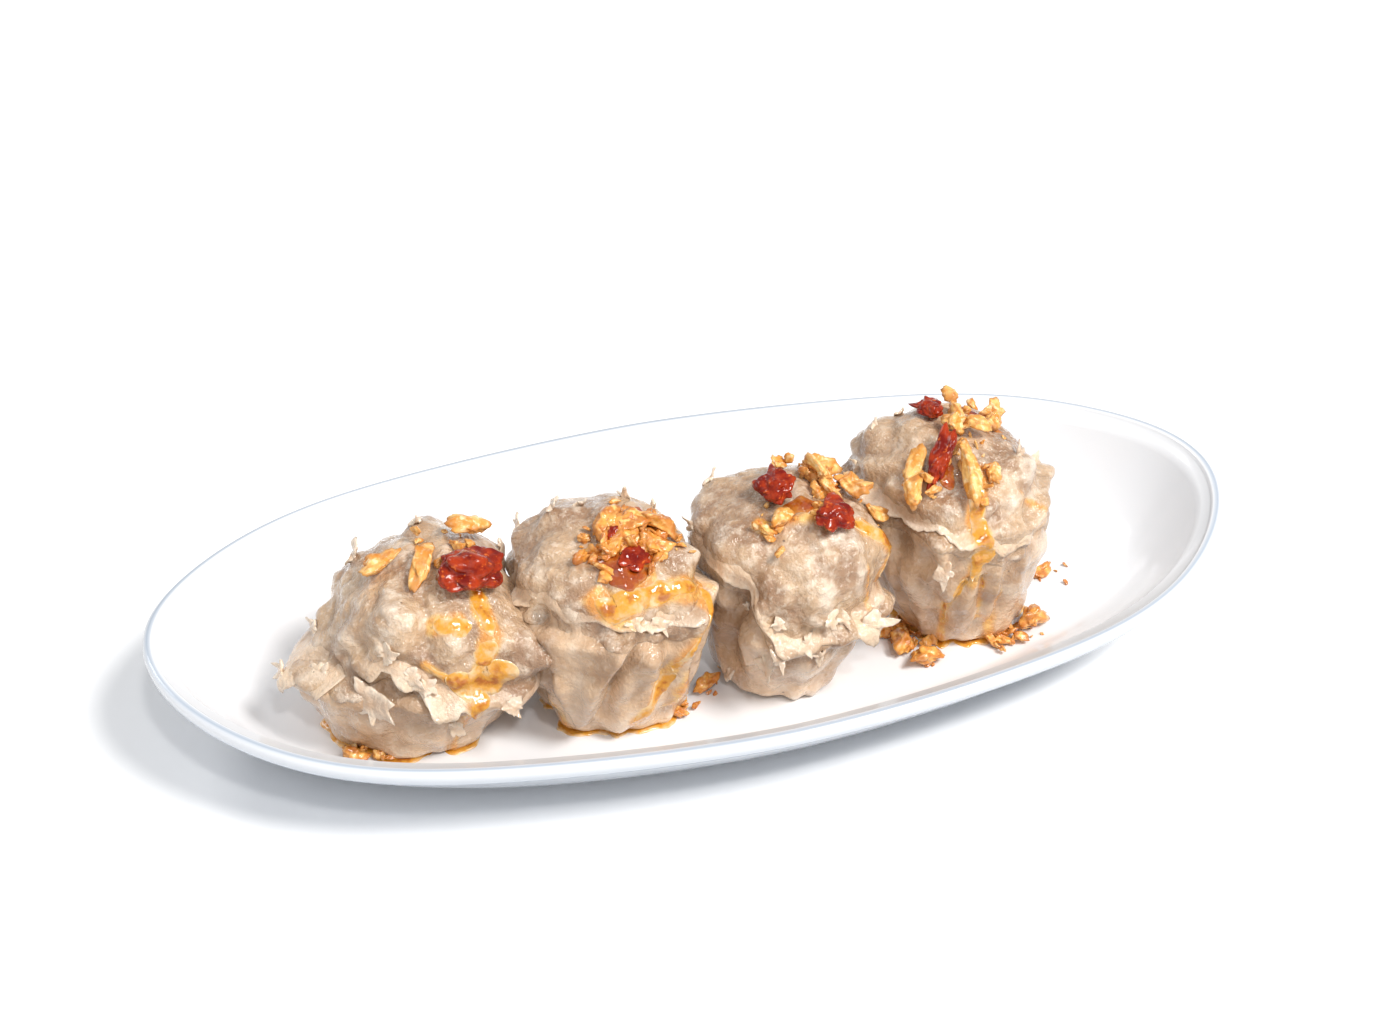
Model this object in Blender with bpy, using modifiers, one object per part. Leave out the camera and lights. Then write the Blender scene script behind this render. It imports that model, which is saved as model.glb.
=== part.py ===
"""Four siu mai dumplings in a row on a boat-shaped plate, topped with fried garlic and chilli.

Metres, +Z up. X runs along the plate, and the origin is on the table under the plate's middle.
Each dumpling is a cup-shaped wrapper around a core of filling that domes out of it. Dumplings
press on their neighbours, so each is flattened where the two would meet.
"""

import math
import random

import bmesh
import bpy
from mathutils import Euler, Matrix, Vector, noise
from mathutils.bvhtree import BVHTree

OBJECT_NAME = "siu_mai_on_plate"
GAP = 0.0003

# Plate
HALF_LENGTH = 0.110
HALF_WIDTH = 0.0532
END_HALF_WIDTH = 0.033
SIDE_POWER = 1.73
END_CROWN = 0.18
RIM_CORNER_POWER = 14.0
FLOOR_CORNER_POWER = 6.0
RIM_HEIGHT = 0.021
RIM_SWELL = 0.0019
RIM_UPTURN = 0.0021
RIM_UPTURN_POWER = 8.0
FLOOR_TOP = 0.0055
FLOOR_UNDERSIDE = 0.0022
FLOOR_SCALE = (0.82, 0.65)
WALL_THICKNESS = 0.0031
WALL_POWER = 1.75
LIP_WIDTH = 0.0034
LIP_HEIGHT = 0.0038
FOOT_SCALE = (0.72, 0.55)
FOOT_WIDTH = 0.003
PLATE_SIDES = 56

# Dumplings
WRAPPER = 0.0011
CORE_CLEARANCE = 0.0008
FLAP_THICKNESS = 0.001
FRILL = 0.0014
PLEATS = 13
PLEAT_DEPTH = 0.0006
LUMP = 0.0020
LUMP_SIZE = 0.0095
DOME_POWER = 2.25
SOFTNESS = 0.0013
PRESS_TURN = math.radians(14)
WRAPPER_SIDES = 36
FILLING_SIDES = 24
DOME_RINGS = 8

# waist is where a dumpling is widest and collar is where its wrapper ends, as shares of the
# height. Each flap is its direction in degrees, how far it sticks out and its half-width in degrees.
DUMPLINGS = (
    {
        "name": "1", "centre": (-0.0610, -0.0070), "lean": (0.0045, -0.0010), "base": 0.0172,
        "girth": 0.0202, "height": 0.0360, "waist": 0.46, "collar": 0.46, "seed": 11,
        "flaps": ((-147, 0.0055, 16), (-112, 0.0040, 11), (-60, 0.0085, 13), (165, 0.0060, 14), (-178, 0.0045, 8)),
    },
    {
        "name": "2", "centre": (-0.0240, -0.0148), "lean": (-0.0010, 0.0005), "base": 0.0148,
        "girth": 0.0200, "height": 0.0402, "waist": 0.55, "collar": 0.68, "seed": 23,
        "flaps": ((-27, 0.0030, 14), (-167, 0.0020, 18), (-95, 0.0015, 20)),
    },
    {
        "name": "3", "centre": (0.0095, -0.0155), "lean": (0.0008, 0.0), "base": 0.0135,
        "girth": 0.0190, "height": 0.0412, "waist": 0.56, "collar": 0.46, "seed": 37,
        "flaps": ((-35, 0.0065, 13), (-64, 0.0030, 9), (-140, 0.0018, 15)),
    },
    {
        "name": "4", "centre": (0.0500, -0.0105), "lean": (-0.0040, 0.0015), "base": 0.0135,
        "girth": 0.0200, "height": 0.0440, "waist": 0.58, "collar": 0.72, "seed": 41,
        "flaps": ((-10, 0.0022, 16), (-175, 0.0028, 14), (-100, 0.0016, 22)),
    },
)

# Toppings, in the order they were dropped: kind, dumpling, direction in degrees, angle from
# straight up in degrees, half-length, half-width and half-thickness in mm, turn in degrees.
TOPPINGS = (
    ("chilli", 0, -52, 28, 5.2, 4.4, 2.3, 20),
    ("garlic", 0, 180, 26, 3.0, 2.6, 1.0, 30),
    ("garlic", 0, -111, 9, 4.6, 2.1, 1.1, 62),
    ("garlic", 0, 110, 9, 1.4, 1.1, 0.8, 0),
    ("garlic", 0, 18, 24, 2.8, 2.2, 1.5, -20),
    ("chilli", 1, -96, 12, 2.4, 2.0, 1.4, 0),
    ("chilli", 1, -79, 38, 4.2, 2.4, 1.3, 85),
    ("garlic", 1, 125, 3, 2.8, 2.2, 1.5, 10),
    ("garlic", 1, 0, 15, 3.0, 2.3, 1.7, 75),
    ("garlic", 1, -1, 33, 2.6, 2.2, 1.6, 140),
    ("garlic", 1, -112, 27, 2.5, 2.0, 1.4, 40),
    ("garlic", 1, -55, 24, 3.0, 2.4, 1.6, 100),
    ("garlic", 1, -35, 37, 2.4, 2.0, 1.3, 20),
    ("chilli", 2, -163, 7, 3.2, 2.7, 1.7, 60),
    ("chilli", 2, -54, 32, 3.4, 3.0, 1.9, 10),
    ("garlic", 2, 40, 28, 3.0, 2.2, 1.6, 15),
    ("garlic", 2, 10, 40, 3.2, 2.0, 1.5, 70),
    ("garlic", 2, 5, 20, 2.6, 2.0, 1.5, 120),
    ("garlic", 2, -12, 52, 3.0, 1.8, 1.2, 10),
    ("garlic", 2, -117, 25, 3.4, 1.9, 1.1, 160),
    ("chilli", 3, 115, 16, 2.8, 2.4, 1.5, 0),
    ("chilli", 3, -122, 30, 4.4, 1.7, 1.4, 0),
    ("garlic", 3, -113, 5, 2.5, 2.0, 1.5, 50),
    ("garlic", 3, 50, 12, 2.6, 1.3, 1.2, 80),
    ("garlic", 3, 8, 27, 3.3, 2.0, 1.3, 20),
    ("garlic", 3, -44, 14, 2.2, 1.7, 1.3, 10),
    ("garlic", 3, -142, 38, 2.6, 2.0, 1.4, 0),
    ("garlic", 3, -134, 52, 2.4, 1.9, 1.2, 60),
    ("garlic", 3, -96, 33, 4.8, 1.8, 1.2, 10),
    ("garlic", 3, -76, 42, 1.7, 1.4, 1.0, 0),
)

# Garlic that lies on the plate by a dumpling: dumpling, direction and distance in mm from its
# centre, half-sizes in mm and turn in degrees.
LOOSE_GARLIC = (
    (3, 13, 22.0, 3.4, 1.2, 0.8, 20),
    (3, -165, 17.5, 2.6, 2.0, 1.5, 40),
    (3, -148, 17.5, 3.0, 2.2, 1.6, 110),
    (3, -130, 17.0, 2.5, 1.9, 1.3, 10),
    (3, -40, 16.0, 2.7, 2.0, 1.5, 60),
    (0, -140, 18.0, 2.6, 1.4, 1.1, 150),
    (1, -16, 18.5, 2.2, 1.7, 1.2, 70),
)
PIECE_STEP = 0.0001
# Subdividing a cube cage shrinks it to about half, which this makes up for.
CAGE_SWELL = 2.45
DROP_HEIGHT = 0.008


def clear_scene():
    for thing in list(bpy.data.objects):
        bpy.data.objects.remove(thing, do_unlink=True)


def make_material(name, colour, roughness, coat=0.0, subsurface=0.0):
    material = bpy.data.materials.new(name)
    material.use_nodes = True
    shader = material.node_tree.nodes["Principled BSDF"]
    shader.inputs["Base Color"].default_value = (*colour, 1.0)
    shader.inputs["Roughness"].default_value = roughness
    shader.inputs["Metallic"].default_value = 0.0
    shader.inputs["Coat Weight"].default_value = coat
    shader.inputs["Subsurface Weight"].default_value = subsurface
    material.diffuse_color = (*colour, 1.0)
    return material


def add_object(name, mesh, material, collection):
    thing = bpy.data.objects.new(name, mesh)
    thing.data.materials.append(material)
    collection.objects.link(thing)
    return thing


def smoothstep(value):
    value = min(max(value, 0.0), 1.0)
    return value * value * (3.0 - 2.0 * value)


def mix(low, high, share):
    return low + (high - low) * share


def loft(name, rings, first_pole, last_pole):
    """A closed mesh through rings of equal count, capped by a fan to a pole at each end.

    Seen from the first pole, the rings run round it so that the faces point outwards.
    """
    build = bmesh.new()
    rows = [[build.verts.new(point) for point in ring] for ring in rings]
    count = len(rings[0])
    start = build.verts.new(first_pole)
    end = build.verts.new(last_pole)
    for i in range(count):
        j = (i + 1) % count
        build.faces.new((start, rows[0][j], rows[0][i]))
        for low, high in zip(rows, rows[1:]):
            build.faces.new((low[i], low[j], high[j], high[i]))
        build.faces.new((end, rows[-1][i], rows[-1][j]))
    mesh = bpy.data.meshes.new(name)
    build.to_mesh(mesh)
    build.free()
    mesh.shade_smooth()
    mesh.set_sharp_from_angle(angle=math.radians(40))
    return mesh


# Plate: every ring is the rim's outline, scaled or drawn in, at its own height.


def outline_radius(angle, corner_power):
    """Distance from the middle to the rim's outline, for a plate of half-length 1.

    The sides and the ends are two curves, and corner_power sets how sharply they meet.
    """
    across, along = math.sin(angle), math.cos(angle)
    widest, end = HALF_WIDTH / HALF_LENGTH, END_HALF_WIDTH / HALF_LENGTH
    low, high = 0.0, 1.3
    for _ in range(40):
        middle = (low + high) / 2
        x, y = middle * along, middle * across
        side = max(widest - (widest - end) * abs(x) ** SIDE_POWER, 0.05)
        tip = max(1.0 - END_CROWN * (y / end) ** 2, 0.05)
        inside = (abs(y) / side) ** corner_power + (abs(x) / tip) ** corner_power < 1.0
        low, high = (middle, high) if inside else (low, middle)
    return low * HALF_LENGTH


def rim_height(x):
    share = abs(x) / HALF_LENGTH
    return RIM_HEIGHT + RIM_SWELL * share**2 + RIM_UPTURN * share**RIM_UPTURN_POWER


def plate_ring(height, scale=(1.0, 1.0), inset=0.0, corner_power=RIM_CORNER_POWER):
    """One ring, going round anticlockwise seen from above. height takes the rim's height there.

    The points follow an ellipse's phase, which puts more of them round the narrow ends.
    """
    ring = []
    for i in range(PLATE_SIDES):
        phase = 2 * math.pi * i / PLATE_SIDES
        angle = math.atan2(HALF_WIDTH * math.sin(phase), HALF_LENGTH * math.cos(phase))
        radius = outline_radius(angle, corner_power)
        rim = rim_height(radius * math.cos(angle))
        x = (radius - inset) * math.cos(angle) * scale[0]
        y = (radius - inset) * math.sin(angle) * scale[1]
        ring.append(Vector((x, y, height(rim))))
    return ring


def wall_ring(share, drop=0.0, outward=0.0):
    """A ring on the curved wall: share is 0 at the floor's edge and 1 at the lip."""
    scale = [mix(low, 1.0 - LIP_WIDTH / HALF_WIDTH, share) for low in FLOOR_SCALE]
    scale[0] = mix(FLOOR_SCALE[0], 1.0 - LIP_WIDTH / HALF_LENGTH, share)
    power = mix(FLOOR_CORNER_POWER, RIM_CORNER_POWER, share**2)
    rise = share**WALL_POWER
    return plate_ring(
        lambda rim: mix(FLOOR_TOP, rim - 0.0004, rise) - drop, scale, -outward, power
    )


def build_plate(material, collection):
    """Rings from the middle of the floor, over the lip, and back underneath to the middle."""
    rings = [
        plate_ring(lambda rim: FLOOR_TOP, (0.42, 0.33), 0.0, FLOOR_CORNER_POWER),
        wall_ring(0.0),
        wall_ring(0.22),
        wall_ring(0.45),
        wall_ring(0.68),
        wall_ring(0.88),
        plate_ring(lambda rim: rim, inset=LIP_WIDTH * 0.60),
        plate_ring(lambda rim: rim - 0.0001, inset=LIP_WIDTH * 0.22),
        plate_ring(lambda rim: rim - 0.0008),
        plate_ring(lambda rim: rim - LIP_HEIGHT + 0.0006, inset=0.0005),
        plate_ring(lambda rim: rim - LIP_HEIGHT - 0.0002, inset=0.0014),
        plate_ring(lambda rim: rim - LIP_HEIGHT - 0.0008, inset=LIP_WIDTH),
        wall_ring(0.62, WALL_THICKNESS, 0.0006),
        wall_ring(0.28, WALL_THICKNESS, 0.0008),
        plate_ring(lambda rim: FLOOR_UNDERSIDE, (0.79, 0.61), 0.0, FLOOR_CORNER_POWER),
        plate_ring(lambda rim: FLOOR_UNDERSIDE, FOOT_SCALE, -FOOT_WIDTH / 2, FLOOR_CORNER_POWER),
        plate_ring(lambda rim: 0.0, FOOT_SCALE, -FOOT_WIDTH / 2 + 0.0003, FLOOR_CORNER_POWER),
        plate_ring(lambda rim: 0.0, FOOT_SCALE, FOOT_WIDTH / 2, FLOOR_CORNER_POWER),
        plate_ring(lambda rim: FLOOR_UNDERSIDE, FOOT_SCALE, FOOT_WIDTH / 2 + 0.0003, FLOOR_CORNER_POWER),
    ]
    rings = [list(reversed(ring)) for ring in rings]
    mesh = loft("plate", rings, (0, 0, FLOOR_TOP), (0, 0, FLOOR_UNDERSIDE))
    return add_object("plate", mesh, material, collection)


# Dumplings: a body of revolution that leans, has soft lumps and is pressed by its neighbours.


def pressing_planes(index):
    """(point, direction) halfway to each neighbour. The dumpling stays behind its planes.

    They are turned a little, so that each dumpling's right side passes in front of the next one.
    """
    here = Vector(DUMPLINGS[index]["centre"])
    planes = []
    for other in (index - 1, index + 1):
        if 0 <= other < len(DUMPLINGS):
            there = Vector(DUMPLINGS[other]["centre"])
            share = DUMPLINGS[index]["girth"] / (
                DUMPLINGS[index]["girth"] + DUMPLINGS[other]["girth"]
            )
            direction = (there - here).normalized()
            direction.rotate(Matrix.Rotation(PRESS_TURN, 2))
            planes.append((here.lerp(there, share), direction))
    return planes


def pressed(point, planes, inset):
    """Moves a point back behind the neighbour's plane, the more gently the further it is."""
    flat = Vector((point.x, point.y))
    limit = -GAP * 0.7 - max(inset, 0.0)
    for place, direction in planes:
        depth = (flat - place).dot(direction)
        squeeze = math.exp(min(-(depth - limit) / SOFTNESS, 60.0))
        flat += direction * (limit - SOFTNESS * math.log1p(squeeze) - depth)
    return Vector((flat.x, flat.y, point.z))


def profile_radius(dumpling, share):
    """Radius at a share of the height: a cup up to the waist and a dome above it."""
    waist = dumpling["waist"]
    if share <= waist:
        rounding = min(share / 0.07, 1.0)
        corner = 0.0022 * (1.0 - math.sqrt(1.0 - (1.0 - rounding) ** 2))
        return mix(dumpling["base"], dumpling["girth"], smoothstep(share / waist)) - corner
    rise = min((share - waist) / (1.0 - waist), 1.0)
    return dumpling["girth"] * (1.0 - rise**DOME_POWER) ** (1.0 / DOME_POWER)


def skin_point(index, angle, share, inset=0.0, raised=0.0, pleat=0.0):
    """A point of the dumpling's skin at a direction and a share of its height.

    inset draws it in from the outer skin, and a negative one sticks out.
    """
    dumpling = DUMPLINGS[index]
    bottom = FLOOR_TOP + GAP
    outwards = Vector((math.cos(angle), math.sin(angle), 0.0))
    radius = profile_radius(dumpling, share)
    height = dumpling["height"] * share
    place = outwards * radius + Vector((0.0, 0.0, height))
    offset = Vector((dumpling["seed"] * 1.7, dumpling["seed"] * 0.6, 0.0))
    bump = noise.noise(place / LUMP_SIZE + offset) * LUMP * smoothstep(share / 0.25)
    wave = math.cos(PLEATS * angle + 1.3 * math.sin(3 * angle + dumpling["seed"]))
    fold = PLEAT_DEPTH * wave * pleat * smoothstep(share / 0.2)
    waist = dumpling["waist"]
    dome = max(share - waist, 0.0) / (1.0 - waist)
    tilt = math.atan2(dome**1.5, max(1.0 - dome, 0.05) ** 0.5)
    normal = outwards * math.cos(tilt) + Vector((0.0, 0.0, math.sin(tilt)))
    place += normal * (bump + fold - inset)
    place.z += raised
    lean = smoothstep(share / waist)
    place.x += dumpling["centre"][0] + dumpling["lean"][0] * lean
    place.y += dumpling["centre"][1] + dumpling["lean"][1] * lean
    place.z += bottom
    return pressed(place, pressing_planes(index), inset)


def turn(sides):
    return [2 * math.pi * i / sides for i in range(sides)]


def dome_shares(waist):
    """Shares of the height up from the waist, closer together towards the top."""
    shares = []
    for i in range(DOME_RINGS):
        lift = math.sin(math.pi / 2 * i / (DOME_RINGS - 0.4))
        shares.append(waist + (1.0 - waist) * lift ** (2.0 / DOME_POWER))
    return shares


def build_filling(index, material, collection):
    dumpling = DUMPLINGS[index]
    collar = dumpling["collar"]
    foot = (WRAPPER + CORE_CLEARANCE) / dumpling["height"]
    shares = [foot, foot + 0.10, 0.34, *dome_shares(dumpling["waist"])]
    rings = []
    for share in shares:
        free = smoothstep((share - collar - 0.035) / 0.12)
        inset = (WRAPPER + CORE_CLEARANCE) * (1.0 - free)
        rings.append([skin_point(index, angle, share, inset) for angle in turn(FILLING_SIDES)])
    middle = sum(rings[0], Vector()) / FILLING_SIDES
    top = skin_point(index, 0.0, 1.0)
    name = "filling_" + dumpling["name"]
    return add_object(name, loft(name, rings, middle, top), material, collection)


def flap_reach(dumpling, angle):
    """How far the wrapper's frilled edge sticks out in a direction."""
    ripple = math.sin(9 * angle + dumpling["seed"]) * math.sin(4 * angle + 2.1 * dumpling["seed"])
    reach = FRILL * (1.0 + 0.5 * ripple)
    for direction, length, width in dumpling["flaps"]:
        away = (math.degrees(angle) - direction + 180.0) % 360.0 - 180.0
        reach += length * max(1.0 - abs(away) / width, 0.0) ** 0.8
    return reach


def collar_share(dumpling, angle):
    """The height of the wrapper's edge, which dips and rises round the dumpling."""
    ripple = math.sin(5 * angle + dumpling["seed"]) + 0.6 * math.sin(8 * angle)
    return dumpling["collar"] + 0.014 * ripple


def build_wrapper(index, material, collection):
    """Rings up the inside of the cup, out over the frill, and down the outside."""
    dumpling = DUMPLINGS[index]
    angles = turn(WRAPPER_SIDES)
    foot = WRAPPER / dumpling["height"]

    def ring(height, reach=0.0, inset=0.0, raised=0.0, pleat=0.0):
        points = []
        for angle in angles:
            edge = collar_share(dumpling, angle)
            out = flap_reach(dumpling, angle) * reach
            curl = 0.35 * out * math.sin(6 * angle + dumpling["seed"])
            points.append(
                skin_point(index, angle, height(edge), inset - out, raised + curl * reach, pleat)
            )
        return points

    rings = [
        ring(lambda edge: foot, inset=WRAPPER),
        ring(lambda edge: foot + 0.10, inset=WRAPPER),
        ring(lambda edge: edge * 0.5, inset=WRAPPER),
        ring(lambda edge: edge * 0.78, inset=WRAPPER),
        ring(lambda edge: edge - 0.05, inset=WRAPPER),
        ring(lambda edge: edge, reach=0.55, raised=FLAP_THICKNESS * 0.5),
        ring(lambda edge: edge, reach=1.0, raised=FLAP_THICKNESS * 0.25),
        ring(lambda edge: edge - 0.005, reach=0.97, raised=-FLAP_THICKNESS * 0.6),
        ring(lambda edge: edge - 0.02, reach=0.45, raised=-FLAP_THICKNESS * 0.6, pleat=1.0),
        ring(lambda edge: edge - 0.10, pleat=1.4),
        ring(lambda edge: edge * 0.55, pleat=1.2),
        ring(lambda edge: 0.12, pleat=1.0),
        ring(lambda edge: 0.045),
        ring(lambda edge: 0.0),
    ]
    rings = [list(reversed(points)) for points in rings]
    inner = sum(rings[0], Vector()) / WRAPPER_SIDES
    outer = sum(rings[-1], Vector()) / WRAPPER_SIDES
    name = "wrapper_" + dumpling["name"]
    return add_object(name, loft(name, rings, inner, outer), material, collection)


# Toppings: small lumps and chips, each brought in until it all but touches what is there.


def chip_mesh(kind, half_sizes, seed):
    """A crisp, bent chip for garlic and a plump lump for chilli, from an uneven cube cage."""
    rng = random.Random(seed)
    build = bmesh.new()
    bmesh.ops.create_cube(build, size=2.0)
    unevenness = 0.30 if kind == "garlic" else 0.18
    for vertex in build.verts:
        vertex.co = vertex.co.normalized() * CAGE_SWELL
        vertex.co *= 1.0 + rng.uniform(-unevenness, unevenness)
        vertex.co = Vector([part * size for part, size in zip(vertex.co, half_sizes)])
    bend = rng.uniform(-0.25, 0.25) / half_sizes[0]
    for vertex in build.verts:
        vertex.co.z += bend * vertex.co.x**2
    mesh = bpy.data.meshes.new(kind)
    build.to_mesh(mesh)
    build.free()
    mesh.shade_smooth()
    return mesh


def mesh_tree(mesh, matrix=None, swell=0.0):
    """A search tree of a mesh's faces, placed by the matrix and swollen along its normals."""
    matrix = matrix or Matrix.Identity(4)
    points = [matrix @ (vertex.co + vertex.normal * swell) for vertex in mesh.vertices]
    return BVHTree.FromPolygons(points, [tuple(face.vertices) for face in mesh.polygons])


def evaluated_mesh(thing):
    bpy.context.view_layer.update()
    graph = bpy.context.evaluated_depsgraph_get()
    return bpy.data.meshes.new_from_object(thing.evaluated_get(graph))


def touches(mesh, place, turned, settled):
    tree = mesh_tree(mesh, Matrix.Translation(place) @ turned, GAP)
    return any(tree.overlap(other) for other in settled)


def drop(thing, place, direction, settled):
    """Brings a topping in along a direction, to the last spot where it touches nothing."""
    mesh = evaluated_mesh(thing)
    turned = thing.rotation_euler.to_matrix().to_4x4()
    spot = place + direction * DROP_HEIGHT
    for _ in range(int(DROP_HEIGHT / PIECE_STEP)):
        if touches(mesh, spot - direction * PIECE_STEP, turned, settled):
            break
        spot -= direction * PIECE_STEP
    thing.location = spot
    settled.append(mesh_tree(mesh, Matrix.Translation(spot) @ turned))
    bpy.data.meshes.remove(mesh)


def lay(thing, place, direction, settled, plate_tree):
    """Lays a loose piece on the plate, sliding it out until it touches nothing."""
    mesh = evaluated_mesh(thing)
    turned = thing.rotation_euler.to_matrix().to_4x4()
    points = [turned @ vertex.co for vertex in mesh.vertices]
    spot = place.copy()
    for _ in range(int(DROP_HEIGHT / PIECE_STEP)):
        for point in points:
            above = Vector((spot.x + point.x, spot.y + point.y, DROP_HEIGHT * 10))
            ground = plate_tree.ray_cast(above, Vector((0, 0, -1)))[0].z
            spot.z = max(spot.z, ground + GAP + PIECE_STEP - point.z)
        if not touches(mesh, spot, turned, settled):
            break
        spot += direction * PIECE_STEP
    thing.location = spot
    settled.append(mesh_tree(mesh, Matrix.Translation(spot) @ turned))
    bpy.data.meshes.remove(mesh)


def add_piece(name, kind, half_sizes, rotation, material, collection, seed):
    half_sizes = [size / 1000.0 for size in half_sizes]
    thing = add_object(name, chip_mesh(kind, half_sizes, seed), material, collection)
    rounding = thing.modifiers.new("rounding", "SUBSURF")
    rounding.levels = 1
    rounding.render_levels = 1
    thing.rotation_euler = rotation
    return thing


def dumpling_centre(index):
    """The middle of the widest level, from which toppings' directions are measured."""
    dumpling = DUMPLINGS[index]
    (x, y), (lean_x, lean_y) = dumpling["centre"], dumpling["lean"]
    height = FLOOR_TOP + dumpling["height"] * dumpling["waist"]
    return Vector((x + lean_x, y + lean_y, height))


def add_toppings(materials, collection, settled, surfaces):
    counts = {"garlic": 0, "chilli": 0}
    for kind, index, direction, tilt, length, width, thickness, turn_by in TOPPINGS:
        counts[kind] += 1
        outwards = Vector((0, 0, 1))
        outwards.rotate(Euler((0, math.radians(tilt), math.radians(direction))))
        spot, normal, _, _ = surfaces[index].ray_cast(
            dumpling_centre(index) + outwards * 0.05, -outwards
        )
        rotation = normal.to_track_quat("Z", "X")
        rotation @= Euler((0, 0, math.radians(turn_by))).to_quaternion()
        name = f"{kind}_{counts[kind]:02d}"
        thing = add_piece(
            name, kind, (length, width, thickness), rotation.to_euler(),
            materials[kind], collection, 100 * len(kind) + counts[kind],
        )
        drop(thing, spot - outwards * 0.001, outwards, settled)
    return counts["garlic"]


def add_loose_garlic(material, collection, settled, plate_tree, count):
    for index, direction, distance, length, width, thickness, turn_by in LOOSE_GARLIC:
        count += 1
        outwards = Vector((1, 0, 0))
        outwards.rotate(Euler((0, 0, math.radians(direction))))
        place = Vector((*DUMPLINGS[index]["centre"], 0.0)) + outwards * distance / 1000.0
        rotation = Euler((0, 0, math.radians(turn_by)))
        thing = add_piece(
            f"garlic_{count:02d}", "garlic", (length, width, thickness), rotation,
            material, collection, 700 + count,
        )
        lay(thing, place, outwards, settled, plate_tree)


def main():
    clear_scene()
    collection = bpy.data.collections.new(OBJECT_NAME)
    bpy.context.scene.collection.children.link(collection)
    melamine = make_material("white_melamine", (0.86, 0.87, 0.89), 0.18, coat=0.4)
    dough = make_material("steamed_wrapper", (0.66, 0.55, 0.45), 0.35, coat=0.3, subsurface=0.3)
    meat = make_material("steamed_filling", (0.55, 0.45, 0.36), 0.4, coat=0.3, subsurface=0.2)
    toppings = {
        "garlic": make_material("fried_garlic", (0.62, 0.30, 0.08), 0.45, coat=0.3),
        "chilli": make_material("chilli", (0.42, 0.03, 0.01), 0.15, coat=0.6),
    }
    plate = build_plate(melamine, collection)
    settled = [mesh_tree(plate.data)]
    surfaces = []
    for index in range(len(DUMPLINGS)):
        filling = build_filling(index, meat, collection)
        wrapper = build_wrapper(index, dough, collection)
        surfaces.append(mesh_tree(filling.data))
        settled += [surfaces[-1], mesh_tree(wrapper.data)]
    count = add_toppings(toppings, collection, settled, surfaces)
    add_loose_garlic(toppings["garlic"], collection, settled, settled[0], count)


main()
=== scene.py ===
# %% [markdown]
# # Siu mai on a boat-shaped plate
#
# Four steamed dumplings stand in a row on a long white plate. Each one is a cup of thin dough
# round a core of minced meat, and fried garlic, chilli and oil go on top. The solids of the
# model give every place and size, and this script gives each surface its fine shape and finish.

# %% Load the solid model
import math

import bmesh
import bpy
import numpy as np
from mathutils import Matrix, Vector, noise
from mathutils.bvhtree import BVHTree


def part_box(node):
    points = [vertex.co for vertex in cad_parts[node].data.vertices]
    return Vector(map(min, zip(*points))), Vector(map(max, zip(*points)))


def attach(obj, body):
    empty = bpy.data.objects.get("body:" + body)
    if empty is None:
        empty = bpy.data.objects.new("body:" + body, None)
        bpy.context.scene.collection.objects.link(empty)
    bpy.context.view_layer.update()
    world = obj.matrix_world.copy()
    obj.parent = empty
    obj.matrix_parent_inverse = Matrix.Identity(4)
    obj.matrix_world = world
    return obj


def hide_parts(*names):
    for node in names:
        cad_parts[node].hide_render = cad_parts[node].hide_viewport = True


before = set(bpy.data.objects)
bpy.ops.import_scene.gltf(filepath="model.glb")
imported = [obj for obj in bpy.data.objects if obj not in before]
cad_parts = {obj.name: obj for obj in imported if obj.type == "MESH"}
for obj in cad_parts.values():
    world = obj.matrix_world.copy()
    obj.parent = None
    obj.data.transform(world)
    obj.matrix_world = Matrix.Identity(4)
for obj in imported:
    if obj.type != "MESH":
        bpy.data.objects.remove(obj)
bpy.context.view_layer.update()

MM = 0.001

# %% [markdown]
# ## Camera
#
# The view is from the front left and above. A 50 mm lens close to the plate makes its left end
# look a little larger, as it does for a person who leans over the table. The camera's distance
# is a multiple of the plate's half-length, so it would follow a larger plate.

# %% Camera
plate_low, plate_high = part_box("plate")
half_length = (plate_high.x - plate_low.x) / 2
VIEW_AZIMUTH, VIEW_ELEVATION = math.radians(-16.91), math.radians(36.0)
VIEW_DISTANCE = 3.6605 * half_length
view_target = Vector((0.0294 * half_length, 0.1504 * half_length, 0.021))
back = Vector((
    math.sin(VIEW_AZIMUTH) * math.cos(VIEW_ELEVATION),
    -math.cos(VIEW_AZIMUTH) * math.cos(VIEW_ELEVATION),
    math.sin(VIEW_ELEVATION),
))
camera = bpy.data.objects.new("camera", bpy.data.cameras.new("camera"))
camera.data.lens = 50.0
camera.data.sensor_width = 36.0
camera.data.clip_start = 0.01
camera.location = view_target + back * VIEW_DISTANCE
camera.rotation_euler = back.to_track_quat("Z", "Y").to_euler()
bpy.context.scene.collection.objects.link(camera)
bpy.context.scene.camera = camera
print("camera stands", round(VIEW_DISTANCE, 3), "m from the plate")

# %% [markdown]
# ## Helpers for meshes
#
# Most pieces here are grids of points that close round an axis. Working the points out with
# numpy keeps a grid of thirty thousand points quick, and one helper turns it into a mesh.

# %% Mesh helpers
def ring_faces(rows, columns):
    """Quads between the rows of a grid whose columns close round."""
    low = np.arange(rows - 1)[:, None] * columns + np.arange(columns)[None, :]
    turned = np.arange(rows - 1)[:, None] * columns + (np.arange(columns)[None, :] + 1) % columns
    quads = np.stack([low, turned, turned + columns, low + columns], axis=-1)
    return quads.reshape(-1, 4)


def capped_faces(rows, columns):
    """The same quads as a list, with one face over the first row and one over the last."""
    last = (rows - 1) * columns
    caps = [list(range(columns))[::-1], list(range(last, last + columns))]
    return ring_faces(rows, columns).tolist() + caps


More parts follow.
